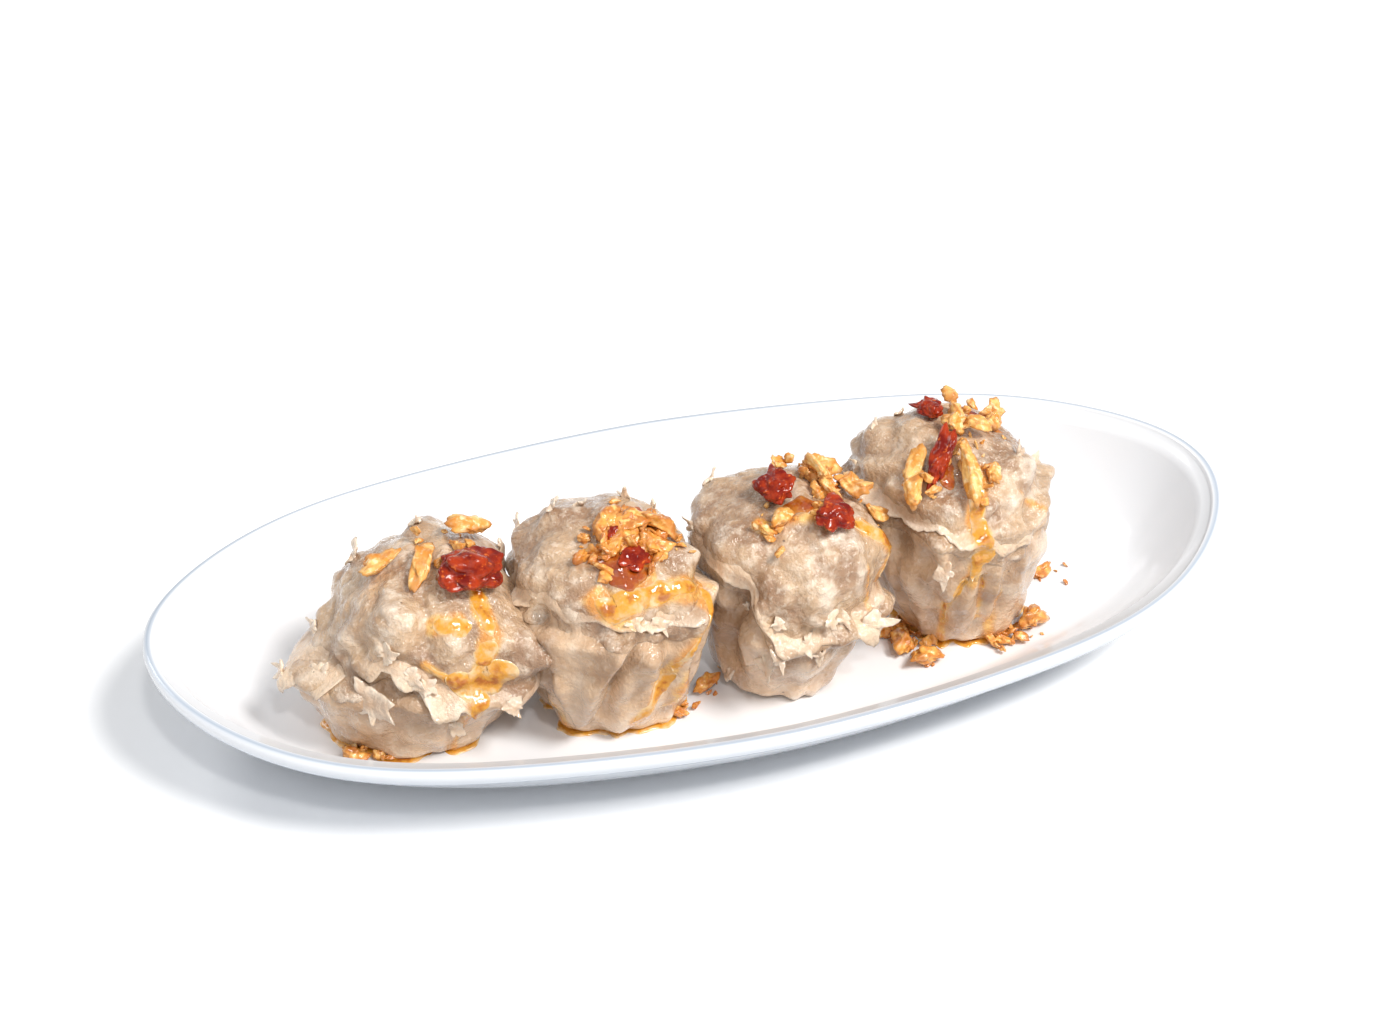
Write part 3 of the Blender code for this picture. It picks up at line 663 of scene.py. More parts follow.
def steamed(name, pale_and_painted_light, middle, deep, gloss, grain, mottle):
    """Moist dough or mince in three colours. mottle says how coarse and patchy it looks."""
    recipe = Recipe(name, **{
        "Subsurface Weight": 0.12, "Subsurface Radius": (1.0, 0.68, 0.5), "Subsurface Scale": 0.0012,
        "Coat Weight": 1.0, "Coat Roughness": 0.07, "IOR": 1.42,
    })
    cloud = recipe.noise(120.0, 3.0, 0.5)
    colour = recipe.mix(recipe.span(cloud, 0.34, 0.62), deep, middle)
    vein = recipe.noise(330.0, 3.0, 0.55)
    colour = recipe.mix(recipe.span(vein, 0.48, 0.72, 0.0, 0.6 * mottle), colour, pale_and_painted_light)
    # Fine grain: paler on the high points and darker in the low points of the fine relief, partly painted
    # light and shade and partly the grain's own mottle
    fine_relief = recipe.noise(950.0, 3.0, 0.6)
    colour = recipe.mix(recipe.span(fine_relief, 0.52, 0.70, 0.0, 0.5 * mottle), colour, pale_and_painted_light)
    colour = recipe.mix(recipe.span(fine_relief, 0.30, 0.46, 0.3 * mottle, 0.0), colour, deep)
    # Painted light and painted shade stored on the points: paler on raised lumps and ridges, darker in
    # hollows, creases and under the lip
    colour = recipe.mix(recipe.stored("pale_and_painted_light"), colour, pale_and_painted_light)
    colour = recipe.mix(recipe.stored("shade"), colour, tuple(value * 0.78 for value in deep))
    cells = recipe.node("ShaderNodeTexVoronoi", {"Vector": recipe.place(), "Scale": 300.0})
    speck = recipe.span(cells.outputs["Distance"], 0.05, 0.10, 1.0, 0.0)
    chosen = recipe.node("ShaderNodeSeparateColor", {"Color": cells.outputs["Color"]})
    speck = recipe.math("MULTIPLY", speck, recipe.math("GREATER_THAN", chosen.outputs[0], 0.9))
    colour = recipe.mix(recipe.math("MULTIPLY", speck, 0.75), colour, PEPPER)
    oil = recipe.stored("oil")
    pool = recipe.noise(330.0, 3.0, 0.55)
    amber = recipe.mix(recipe.span(pool, 0.38, 0.66), AMBER, PALE_AMBER)
    colour = recipe.mix(recipe.math("MULTIPLY", oil, 0.85), colour, amber)
    patchy = recipe.span(recipe.noise(210.0, 3.0), 0.3, 0.7, gloss, gloss + 0.2)
    roughness = recipe.math("MULTIPLY", patchy, recipe.span(oil, 0.0, 0.8, 1.0, 0.4))
    fine = recipe.bump(recipe.noise(1900.0, 2.0, 0.6), 0.22, 0.0002)
    wet = recipe.bump(fine_relief, 0.35 + 0.4 * mottle, 0.0008, fine)
    normal = recipe.bump(recipe.noise(grain, 4.0, 0.55), 0.30, 0.0008, wet)
    return recipe.finish(colour=colour, roughness=roughness, normal=normal)


CREAM = (0.94, 0.81, 0.66)
dough = steamed("steamed_dough", CREAM, (0.73, 0.505, 0.32), (0.46, 0.28, 0.16), 0.20, 300.0, 0.45)
meat = steamed("minced_filling", CREAM, (0.60, 0.405, 0.245), (0.35, 0.20, 0.11), 0.18, 420.0, 0.8)

# %% [markdown]
# ## The meat that domes out
#
# The filling is minced, so its dome is a mass of soft crumbs that melt into each other, coarser
# where the skin is torn. Smooth noise gives the soft lumps and cell noise the coarse crumbs.
# The part below the lip is hidden in the dough, so the mesh stops a little way under it.

# %% The fillings
MEAT_ROWS, MEAT_OVERLAP = 104, math.radians(20.0)


def build_meat(number):
    """The dome of mince, from a little below the lip to the top."""
    skin = skins[number]
    lip = np.radians(around(LIPS[number], 1, azimuths))
    start = lip - MEAT_OVERLAP
    top = elevations[-1]
    rise = np.linspace(0.0, 1.0, MEAT_ROWS)[:, None]
    angle = start[None, :] + (top - start[None, :]) * rise
    spoke = np.broadcast_to(azimuths, angle.shape)
    radius = look_up(skin["form"], spoke, angle)
    hidden = 1.0 - smooth_step(rise / 0.12)
    coarse = look_up(skin["rough"], spoke, angle)
    points = skin["centre"] + toward(spoke, angle) * radius[..., None]
    # Soft lumps of two sizes, crumbs in patches, and a fine grain, all in mm
    large, medium = billow(points, 8.5 * MM, number), billow(points, 4.2 * MM, number + 20)
    lumps = large * 1.5 + medium * 0.75 * (0.5 + large)
    drift = np.stack([ripple(points, 3.0 * MM, number + shift) for shift in (70, 80, 90)], axis=-1)
    crumbs = 0.40 - crumble(points + drift * 1.9 * MM, 3.6 * MM, number)
    patch = smooth_step(ripple(points, 6.0 * MM, number + 33) * 1.4 + 0.35)
    crumbs = crumbs * patch
    small = ripple(points, 1.5 * MM, number + 40) * (0.14 + 0.22 * coarse)
    radius = radius + (lumps + crumbs * (0.5 + 1.1 * coarse) + small) * MM - 3.0 * MM * hidden
    radius = radius + 0.2 * MM * look_up(skin["oil"], spoke, angle)
    points = skin["centre"] + toward(spoke, angle) * radius[..., None]
    faces, replaced = capped_faces(MEAT_ROWS, SPOKES), [f"filling_{number}"]
    piece = make_piece(f"meat_{number}", points.reshape(-1, 3), faces, meat, replaced)
    paint(piece, "oil", look_up(skin["oil"], spoke, angle))
    # Painted shade in the listed hollows and the creases between lumps, and painted light on raised lumps,
    # small bumps and the glistening coarse patches, over paleness that varies at random
    dark = look_up(skin["dark"], spoke, angle)
    painted_crease_shade = smooth_step(-lumps * 1.3 - 0.15)
    paint(piece, "shade", np.clip(dark + painted_crease_shade * 0.6 - small * 0.8 - crumbs * 0.5, 0.0, 0.95))
    pale_and_painted_light = ripple(points, 5.0 * MM, number + 60) * 0.9 + 0.3 * coarse + small + lumps * 0.3
    pale_and_painted_light = pale_and_painted_light - 0.2 - dark - painted_crease_shade
    paint(piece, "pale_and_painted_light", np.clip(pale_and_painted_light, 0.0, 0.75))
    return piece


meats = {number: build_meat(number) for number in skins}

# %% [markdown]
# ## The dough cup
#
# Below the lip the dough is a cup, drawn in just under the lip and pleated down its side. A
# cloth simulation could drape it, but each pleat and pocket is given, so it is built
# directly: rows of points climb from the base to the lip, then turn in under the meat.

# %% Cups
CUP_ROWS, PLEATS = 72, 13


def ring_noise(angle, size, seed):
    """Noise that closes round the dumpling, one value for each spoke."""
    return ripple(toward(angle, 0.0 * angle) * NOISE_RADIUS + seed, size, seed)


def build_cup(number):
    """The pleated cup, from its base up to the lip and in under the mince."""
    skin = skins[number]
    strength = around(LIPS[number], 2, azimuths)
    lip = np.radians(around(LIPS[number], 1, azimuths) + 3.0)
    base = math.radians(-88.0)
    climb = np.linspace(0.0, 1.0, CUP_ROWS)[:, None] ** 0.85
    angle = base + (lip[None, :] - base) * climb
    spoke = np.broadcast_to(azimuths, angle.shape)
    radius = look_up(skin["form"], spoke, angle)
    points = skin["centre"] + toward(spoke, angle) * radius[..., None]
    # Drawn in for a few mm under the lip, pleated down the side, and softly uneven
    under = (lip[None, :] - angle) * radius / MM
    drawn_in = strength * 1.7 * smooth_step(1.0 - under / 9.0)
    side = smooth_step(climb / 0.3)
    pleat = np.cos(PLEATS * spoke + 3.0 * np.sin(2 * spoke + number) + 1.6 * np.sin(3 * climb + number))
    depth = 0.26 * side * np.clip(1.0 + 1.6 * ripple(points, 8.0 * MM, number + 3), 0.0, 2.0)
    soft = billow(points, 9.0 * MM, number + 11) * 1.3 + ripple(points, 3.0 * MM, number + 17) * 0.3
    shape = pleat * depth + soft * side
    radius = radius + (shape - drawn_in) * MM
    radius = radius + 0.15 * MM * look_up(skin["oil"], spoke, angle)
    points = skin["centre"] + toward(spoke, angle) * radius[..., None]
    inward = [points[-1] - (points[-1] - skin["centre"]) * share for share in (0.06, 0.16)]
    points = np.concatenate([points, np.array(inward)])
    faces, replaced = capped_faces(len(points), SPOKES), [f"wrapper_{number}"]
    piece = make_piece(f"cup_{number}", points.reshape(-1, 3), faces, dough, replaced)
    tail = np.zeros((len(inward), SPOKES))
    paint(piece, "oil", np.concatenate([look_up(skin["oil"], spoke, angle), tail]))
    # Painted shade in the listed hollows, the drawn-in band under the lip and the pleats' hollows, and
    # painted light on the pleats' ridges and bulges
    dark = look_up(skin["dark"], spoke, angle)
    shade = np.clip(dark + drawn_in * 0.22 - shape * 0.35, 0.0, 0.95) * side
    paint(piece, "shade", np.concatenate([shade, tail]))
    paint(piece, "pale_and_painted_light", np.concatenate([np.clip(shape * 0.6 - 0.05 - dark, 0.0, 0.6) * side, tail]))
    return piece


cups = {number: build_cup(number) for number in skins}

# %% [markdown]
# ## The ragged lip
#
# The lip is a skirt of dough that leaves the dome, thins to a torn edge, and ripples. It has an
# outer and an inner face so that the edge shows its real thickness, and longer flaps stand out
# where the dough was pinched.

# %% Lips: each flap is (azimuth, length in mm, half-width in degrees, how far it stands out)
FLAPS = {
    1: ((-152, 2.0, 8, 0.5), (-107, 2.4, 8, 0.8), (-92, 3.2, 9, 0.8), (-31, 2.0, 10, 0.8),
        (172, 2.4, 7, 0.7), (-172, 2.0, 6, 0.7), (-126, 1.6, 5, 0.6), (-74, 1.8, 6, 0.5),
        (20, 2.0, 14, 0.6), (95, 2.4, 12, 0.6)),
    2: ((-166, 1.6, 14, 0.7), (-122, 0.8, 10, 0.4), (-78, 0.5, 12, 0.4), (30, 1.4, 12, 0.5)),
    3: ((-59, 2.8, 7, 0.8), (-142, 1.2, 12, 0.4), (-106, 1.2, 8, 0.4), (60, 1.8, 12, 0.6)),
    4: ((-172, 1.8, 12, 0.7), (-132, 1.0, 12, 0.4), (-106, 1.0, 8, 0.4), (80, 1.8, 14, 0.6)),
}
LIP_ROWS, LIP_SPOKES = 14, 432
LIP_LEAD, LEAST_REACH, LIP_THICKNESS, DOME_RADIUS = 3.4, 0.35, (1.0, 0.3), 19.0
lip_azimuths = np.linspace(0.0, 2.0 * math.pi, LIP_SPOKES, endpoint=False)


def build_lip(number):
    """The skirt of dough, which starts LIP_LEAD mm above the lip, inside the dome's skin."""
    skin = skins[number]
    strength = around(LIPS[number], 2, lip_azimuths)
    lip = np.radians(around(LIPS[number], 1, lip_azimuths))
    # Three sizes of raggedness, then how far the lip hangs and stands out, in mm
    wave = ring_noise(lip_azimuths, 5.0 * MM, number + 5)
    rag = ring_noise(lip_azimuths, 2.4 * MM, number + 7)
    tear = ring_noise(lip_azimuths, 0.9 * MM, number + 13)
    lip = lip + np.radians(5.0 * wave + 3.0 * rag)
    reach = strength * (0.9 + 1.5 * wave + 1.1 * rag + 0.25 * tear)
    stand = strength * (0.25 + 0.6 * np.clip(wave + rag, 0.0, 1.0))
    for azimuth, length, width, out in FLAPS[number]:
        away = (np.degrees(lip_azimuths) - azimuth + 180.0) % 360.0 - 180.0
        share = np.maximum(1.0 - np.abs(away) / width, 0.0) ** 0.7
        reach = reach + length * share * (1.0 + 0.3 * tear)
        stand = stand + length * out * share
    reach = np.maximum(reach, LEAST_REACH)
    rows, lifts = [], []
    for share in np.linspace(0.0, 1.0, LIP_ROWS):
        along = -LIP_LEAD + (LIP_LEAD + reach) * share
        angle = lip - along / DOME_RADIUS
        radius = look_up(skin["form"], lip_azimuths, angle)
        hang = np.clip(along / reach, 0.0, 1.0)
        rise = -0.9 + 1.1 * smooth_step((along + LIP_LEAD) / LIP_LEAD)
        ruffle = hang**1.4 * (0.55 * rag + 0.4 * wave) * np.minimum(reach, 2.0) / 1.5
        lift = rise + stand * hang**1.5 + ruffle
        point = skin["centre"] + toward(lip_azimuths, angle) * (radius + lift * MM)[:, None]
        rows.append(point)
        lifts.append(hang)
    # The inner face lies behind the outer one, and the two meet at a thin torn edge
    outer = np.array(rows)
    across = np.roll(outer, -1, 1) - np.roll(outer, 1, 1)
    padded = np.concatenate([outer[:1], outer, outer[-1:]])
    normals = np.cross(padded[2:] - padded[:-2], across)
    normals /= np.maximum(np.linalg.norm(normals, axis=-1, keepdims=True), 1e-9)
    thickness = np.linspace(*LIP_THICKNESS, LIP_ROWS)[:, None, None] * MM
    inner = outer - normals * thickness
    points = np.concatenate([outer, inner[::-1], outer[:1]])
    faces = ring_faces(2 * LIP_ROWS + 1, LIP_SPOKES)[:, ::-1]
    replaced = [f"wrapper_{number}"]
    piece = make_piece(f"lip_{number}", points.reshape(-1, 3), faces, dough, replaced)
    hang = np.array(lifts)
    pale_and_painted_light = 0.1 + 0.6 * hang * np.clip(0.6 + 0.6 * rag, 0.2, 1.0) * np.minimum(strength, 1.0)
    angle = lip[None, :] - hang * 0.05
    oil = look_up(skin["oil"], np.broadcast_to(lip_azimuths, hang.shape), angle) * (1.0 - 0.5 * hang)
    for name, values in (("oil", oil), ("pale_and_painted_light", pale_and_painted_light), ("shade", 0.0 * hang)):
        paint(piece, name, np.concatenate([values, values[::-1], values[:1]]))
    return piece


lips = {number: build_lip(number) for number in skins}
for number, skin in skins.items():
    skin["tree"] = tree_of(meats[number].data, cups[number].data, lips[number].data)


NO_HIT_RADIUS = 0.018


def touch(number, way):
    """Where a line from outside toward the dumpling's middle first meets it, and the facing there."""
    centre = Vector(skins[number]["centre"])
    way = Vector(way).normalized()
    place, facing = skins[number]["tree"].ray_cast(centre + way * CAST_FROM, -way)[:2]
    if place is None:
        return centre + way * NO_HIT_RADIUS, way
    if facing.dot(way) < 0.0:
        facing = -facing
    return place, facing


# %% [markdown]
# ## Scraps of torn dough
#
# Steamed dough tears, and the scraps curl away from the cup like wet paper. Each one is a small
# sheet with a star-shaped outline, held to the skin on one side and lifted on the other.

# %% Scraps: (dumpling, azimuth, elevation, size in mm, lobes, turn in degrees, lift in mm)
SCRAPS = (
    (1, -131, -6, 5.2, 5, -30, 2.2), (1, 172, 2, 2.6, 3, 180, 1.2), (1, -176, -9, 2.6, 4, 195, 1.2),
    (1, -160, -3, 2.6, 5, 230, 0.8), (1, -121, 21, 3.0, 3, 0, 0.8), (1, -85, -24, 3.0, 3, -70, 1.2),
    (1, -61, -9, 2.8, 3, -80, 1.2), (1, 138, 39, 2.4, 4, 150, 1.2), (1, 77, 62, 2.0, 4, 90, 1.0),
    (1, 12, 30, 2.2, 3, 30, 1.2), (1, -98, 6, 2.8, 3, -60, 1.2), (1, -107, 10, 3.2, 3, -20, 1.2),
    (2, 142, 34, 2.2, 4, 160, 1.1), (2, 138, 58, 1.9, 4, 140, 0.9), (2, 110, 64, 1.8, 3, 110, 0.9),
    (2, 51, 60, 1.9, 4, 80, 1.0), (2, 31, 45, 1.9, 3, 50, 1.0), (2, -90, 29, 2.4, 4, -60, 0.9),
    (2, -72, 24, 2.4, 4, -70, 0.9), (3, 172, 34, 2.0, 3, 170, 1.0), (3, 135, 42, 1.9, 3, 140, 0.8),
    (3, -59, -7, 3.6, 3, -20, 1.9), (3, -155, -50, 2.4, 3, -90, 1.1), (3, -112, -8, 2.6, 3, -80, 1.0),
    (3, -97, -5, 2.6, 3, -75, 1.0), (3, -109, 7, 2.4, 3, 200, 0.9), (3, -137, 2, 1.5, 3, 90, 0.5),
    (3, -84, 8, 2.6, 3, -80, 0.8), (3, -118, -16, 2.8, 3, -90, 0.9), (3, -90, -14, 2.2, 3, -70, 0.9),
    (3, -74, 2, 2.2, 3, -50, 0.9), (4, 150, 50, 2.0, 3, 150, 1.0), (4, 120, 52, 1.9, 3, 120, 0.9),
    (4, 168, 34, 1.9, 3, 170, 0.9), (4, -114, 9, 3.2, 3, -60, 1.5), (4, -8, 30, 2.2, 4, 0, 1.0),
    (4, -160, 8, 2.2, 3, 190, 1.0), (4, -40, 52, 1.9, 3, 30, 0.9),
)
SCRAP_RINGS, SCRAP_SPOKES, SCRAP_THICKNESS = 8, 56, (0.9, 0.4)


def scrap(number, azimuth, elevation, size, lobes, turn, lift, seed):
    """Points of one scrap, outer face then inner face, and how far out each point is, 0 to 1."""
    chance = np.random.default_rng(seed)
    place, facing = touch(number, unit(azimuth, elevation))
    facing = (facing + Vector(unit(azimuth, elevation)) * 1.5).normalized()
    # Axes on the skin: the free tip points along the heading
    along = Vector((0.0, 0.0, 1.0)).cross(facing).normalized()
    upward = facing.cross(along)
    heading = along * math.cos(math.radians(turn)) + upward * math.sin(math.radians(turn))
    across = facing.cross(heading)
    # An uneven outline with a sharp tip for each lobe
    angle = np.linspace(0.0, 2.0 * math.pi, SCRAP_SPOKES, endpoint=False)
    outline = 0.52 + 0.3 * ring_noise(angle, 9.0 * MM, seed)
    for lobe in range(lobes):
        tip = (lobe + chance.uniform(-0.3, 0.3)) * 2.0 * math.pi / lobes
        away = np.abs((angle - tip + math.pi) % (2.0 * math.pi) - math.pi)
        outline = outline + chance.uniform(0.3, 0.75) * np.exp(-away / chance.uniform(0.2, 0.42))
    outline = outline * (1.0 + chance.uniform(-0.04, 0.04, SCRAP_SPOKES))
    # Held down on one side, and lifted, curled and crumpled on the other
    share = np.linspace(0.06, 1.0, SCRAP_RINGS)[:, None]
    x = share * outline * np.cos(angle) * size + size * 0.35
    y = share * outline * np.sin(angle) * size * 0.8
    free = np.clip(x / (size * 1.2), 0.0, 1.2)
    z = 0.45 + lift * free**1.5 - 0.7 * (share**2) * (1.0 - np.clip(free, 0, 1))
    z = z + 0.35 * np.sin(3 * angle + chance.uniform(0, 6)) * share**2
    z = z + 0.12 * size * np.abs(y - 0.15 * size) / size
    axes = np.array([heading, across, facing])
    outer = np.array(place) + np.stack([x, y, z], axis=-1) * MM @ axes
    crumple = ripple(outer, 2.2 * MM, seed)[..., None] * 0.75 * MM
    outer = outer + np.array(facing) * crumple
    drop = np.linspace(*SCRAP_THICKNESS, SCRAP_RINGS)[:, None, None] * MM * np.array(facing)
    inner = outer - drop
    return np.concatenate([outer, inner[::-1]]), np.concatenate([share + 0 * x, share[::-1] + 0 * x])


def build_scraps(number):
    """All the scraps of one dumpling, joined into one piece."""
    points, faces, pale_and_painted_light = [], [], []
    for seed, entry in enumerate(SCRAPS):
        if entry[0] != number:
            continue
        own, out = scrap(*entry, seed)
        own = own.reshape(-1, 3)
        start = sum(len(block) for block in points)
        for face in capped_faces(2 * SCRAP_RINGS, SCRAP_SPOKES):
            faces.append([start + index for index in face])
        points.append(own)
        pale_and_painted_light.append(0.1 + 0.75 * out.reshape(-1) * (0.7 + 0.5 * ripple(own, 2.0 * MM, seed)))
    points, pale_and_painted_light, replaced = np.concatenate(points), np.concatenate(pale_and_painted_light), [f"wrapper_{number}"]
    piece = make_piece(f"scraps_{number}", points, faces, dough, replaced)
    paint(piece, "pale_and_painted_light", pale_and_painted_light)
    paint(piece, "oil", np.clip(0.55 * ripple(points, 3.0 * MM, 8) - 0.05, 0.0, 0.4))
    paint(piece, "shade", 0.0 * pale_and_painted_light)


for number in skins:
    build_scraps(number)

# %% [markdown]
# ## Fried garlic and chilli
#
# Fried garlic is chopped by hand, so each piece is an angular shard with flat cut sides, then
# fried until its edges turn brown. A shard is the space inside a few random cutting planes,
# bent and crinkled. Chilli pulp is softer: a wet cluster of rounded lobes.

# %% Finishes for the toppings
FRIED_EDGE = (0.52, 0.15, 0.015)


def garlic_finish(name, dark, middle, light, coat):
    """Fried garlic in three colours, with browned edges and a coat of oil of this weight."""
    recipe = Recipe(name, **{"Coat Weight": coat, "Coat Roughness": 0.12, "IOR": 1.45})
    cloud = recipe.noise(420.0, 4.0, 0.6)
    colour = recipe.mix(recipe.span(cloud, 0.36, 0.64), dark, middle)
    colour = recipe.mix(recipe.span(recipe.noise(900.0, 2.0), 0.52, 0.7), colour, light)
    edge = recipe.stored("edge")
    colour = recipe.mix(recipe.math("MULTIPLY", edge, 0.85), colour, FRIED_EDGE)
    roughness = recipe.span(recipe.noise(700.0, 3.0), 0.3, 0.7, 0.28, 0.55)
    fine = recipe.bump(recipe.noise(2600.0, 3.0, 0.6), 0.35, 0.0002)
    normal = recipe.bump(recipe.noise(800.0, 3.0, 0.6), 0.4, 0.0004, fine)
    return recipe.finish(colour=colour, roughness=roughness, normal=normal)


def chilli_finish():
    """Wet chilli pulp: deep red, lighter flecks, and painted shade between its lobes."""
    recipe = Recipe("wet_chilli", **{
        "Subsurface Weight": 0.1, "Subsurface Radius": (1.0, 0.16, 0.06), "Subsurface Scale": 0.0012,
        "Coat Weight": 0.4, "Coat Roughness": 0.05, "IOR": 1.35, "Specular IOR Level": 0.3,
    })
    cloud = recipe.noise(380.0, 4.0, 0.6)
    colour = recipe.mix(recipe.span(cloud, 0.35, 0.66), (0.17, 0.006, 0.002), (0.40, 0.036, 0.005))
    colour = recipe.mix(recipe.span(recipe.noise(1000.0, 2.0), 0.6, 0.75), colour, (0.66, 0.13, 0.02))
    # Painted shade between the lobes, which the pulp stores under edge
    colour = recipe.mix(recipe.stored("edge"), colour, (0.10, 0.004, 0.002))
    roughness = recipe.span(cloud, 0.3, 0.7, 0.10, 0.26)
    normal = recipe.bump(recipe.noise(900.0, 3.0, 0.55), 0.3, 0.0004)
    return recipe.finish(colour=colour, roughness=roughness, normal=normal)


garlic = garlic_finish(
    "fried_garlic", (0.76, 0.31, 0.045), (0.95, 0.58, 0.19), (0.98, 0.74, 0.39), 0.2
)
glazed_garlic = garlic_finish(
    "glazed_garlic", (0.55, 0.17, 0.02), (0.86, 0.40, 0.07), (0.95, 0.60, 0.20), 0.9
)
chilli = chilli_finish()


# %% Shards and pulp
def ball(levels):
    """Unit directions and triangles of a finely divided icosahedron."""
    mesh = bmesh.new()
    bmesh.ops.create_icosphere(mesh, subdivisions=levels, radius=1.0)
    ways = np.array([vertex.co[:] for vertex in mesh.verts])
    faces = np.array([[vertex.index for vertex in face.verts] for face in mesh.faces])
    mesh.free()
    return ways, faces


BALLS = {levels: ball(levels) for levels in (3, 4, 5)}


SHARD_CUTS, SHARD_BITES, PULP_LOBES, PULP_TIPS, PULP_CORE = 11, 5, 9, 3, 0.62


def shard(seed, levels, sharp=18.0):
    """An angular chip about one unit in radius, with how near each point is to an edge."""
    chance = np.random.default_rng(seed)
    ways, faces = BALLS[levels]
    # The space inside random cutting planes, with slightly rounded edges
    normals = chance.normal(size=(SHARD_CUTS, 3))
    normals /= np.linalg.norm(normals, axis=1, keepdims=True)
    offsets = chance.uniform(0.42, 1.0, SHARD_CUTS)
    reach = offsets / np.maximum(ways @ normals.T, 0.12)
    reach = np.minimum(reach, 1.6)
    radius = np.sum(reach**-sharp, axis=1) ** (-1.0 / sharp)
    ordered = np.sort(reach, axis=1)
    edge = np.clip(1.0 - (ordered[:, 1] - ordered[:, 0]) / 0.22, 0.0, 1.0)
    # Hollows, then crinkles of two sizes
    for _ in range(SHARD_BITES):
        bite = chance.normal(size=3)
        bite /= np.linalg.norm(bite)
        angle = np.arccos(np.clip(ways @ bite, -1.0, 1.0))
        radius = radius * (1.0 - chance.uniform(0.15, 0.5) * np.exp(-((angle / 0.34) ** 2)))
    radius = radius * (1.0 + 0.28 * ripple(ways, 0.5, seed) + 0.15 * ripple(ways, 0.2, seed + 1))
    radius = radius / np.quantile(radius, 0.97)
    return ways * radius[:, None], faces, edge * 0.8


def pulp(seed, levels):
    """A wet cluster of soft lobes about one unit in radius."""
    chance = np.random.default_rng(seed)
    ways, faces = BALLS[levels]
    radius = np.full(len(ways), PULP_CORE)
    for _ in range(PULP_LOBES):
        lobe = chance.normal(size=3)
        lobe /= np.linalg.norm(lobe)
        angle = np.arccos(np.clip(ways @ lobe, -1.0, 1.0))
        size = chance.uniform(0.15, 0.45)
        radius = np.maximum(radius, PULP_CORE + size * np.exp(-((angle / (0.40 + 0.3 * size)) ** 2)))
    for _ in range(PULP_TIPS):
        tip = chance.normal(size=3)
        tip /= np.linalg.norm(tip)
        angle = np.arccos(np.clip(ways @ tip, -1.0, 1.0))
        radius = radius + chance.uniform(0.2, 0.5) * np.exp(-angle / 0.2)
    radius = radius * (1.0 + 0.24 * billow(ways, 0.55, seed) + 0.05 * ripple(ways, 0.2, seed + 1))
    radius = radius / np.quantile(radius, 0.9)
    # Painted shade: darker where the surface dips between the lobes
    deep = np.clip((0.72 - radius) * 2.5, 0.0, 1.0)
    return ways * radius[:, None], faces, deep


def solid_axes(name):
    """A solid's middle, its three main directions, and its half-sizes along them."""
    points = np.array([vertex.co[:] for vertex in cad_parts[name].data.vertices])
    middle = (points.max(axis=0) + points.min(axis=0)) / 2
    axes = np.linalg.svd(points - points.mean(axis=0), full_matrices=False)[2]
    if np.linalg.det(axes) < 0.0:
        axes[2] *= -1.0
    halves = np.abs((points - middle) @ axes.T).max(axis=0)
    return middle, axes, halves


def place_form(form, middle, axes, halves, bend=0.0):
    """Stretches a unit form to half-sizes along its axes, bends it, and moves it into place."""
    local = form * halves
    local[:, 2] += bend * (form[:, 0] ** 2 - 0.4) * halves[2]
    return middle + local @ axes


class Heap:
    """Collects many small forms into one piece."""

    def __init__(self):
        self.points, self.faces, self.edges, self.count = [], [], [], 0

    def add(self, points, faces, edge):
        self.points.append(points)
        self.faces.append(faces + self.count)
        self.edges.append(edge)
        self.count += len(points)

    def finish(self, name, material, slot, replaced=(), layer="edge", turn_out=True):
        """Makes the piece, and stores the number that each point came with."""
        points, faces = np.concatenate(self.points), np.concatenate(self.faces).tolist()
        piece = make_piece(name, points, faces, material, replaced, turn_out)
        paint(piece, layer, np.concatenate(self.edges))


# %% Which solids lie on which dumpling
ON_A_DUMPLING, FOOT_CAST = 16 * MM, 0.05


def nearest_dumpling(middle):
    reach = {}
    for number, skin in skins.items():
        reach[number] = np.linalg.norm((middle - skin["centre"])[:2])
    return min(reach, key=reach.get)


groups = {}
for name in sorted(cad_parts):
    kind = name.split("_")[0]
    if kind in ("garlic", "chilli"):
        middle = solid_axes(name)[0]
        home = nearest_dumpling(middle) if middle[2] > ON_A_DUMPLING else 0
        groups.setdefault((kind, home), []).append(name)
for key, names in groups.items():
    print(*key, "has", len(names), "solids")

# %% Garlic and chilli on the dumplings, and garlic on the plate (home 0)
# A form is pinched in by its noise, so it is made larger than its solid to look the same size.
# On dumpling 2 the toppings lie in one heap, drawn in toward its heart.
GARLIC_SWELL, CHILLI_SWELL, HEAP_CHILLI_SWELL, HEAP_PULL = 1.36, 1.16, 0.92, 0.35
heart = np.array(touch(2, unit(-62, 70))[0])
for (kind, home), names in sorted(groups.items()):
    heap = Heap()
    for index, name in enumerate(names):
        middle, axes, halves = solid_axes(name)
        if home == 2:
            middle = middle + (heart - middle) * HEAP_PULL
        seed = 100 * home + 7 * index + (50 if kind == "chilli" else 0)
        if kind == "garlic":
            form, faces, edge = shard(seed, 4)
            heap.add(place_form(form, middle, axes, halves * GARLIC_SWELL, 0.5), faces, edge)
        else:
            form, faces, edge = pulp(seed, 5)
            swell = HEAP_CHILLI_SWELL if home == 2 else CHILLI_SWELL
            heap.add(place_form(form, middle, axes, halves * swell, 0.2), faces, edge)
    material = chilli if kind == "chilli" else glazed_garlic if home in (0, 2) else garlic
    where = f"dumpling_{home}" if home else "plate"
    heap.finish(f"{kind}_on_{where}", material, kind, names)

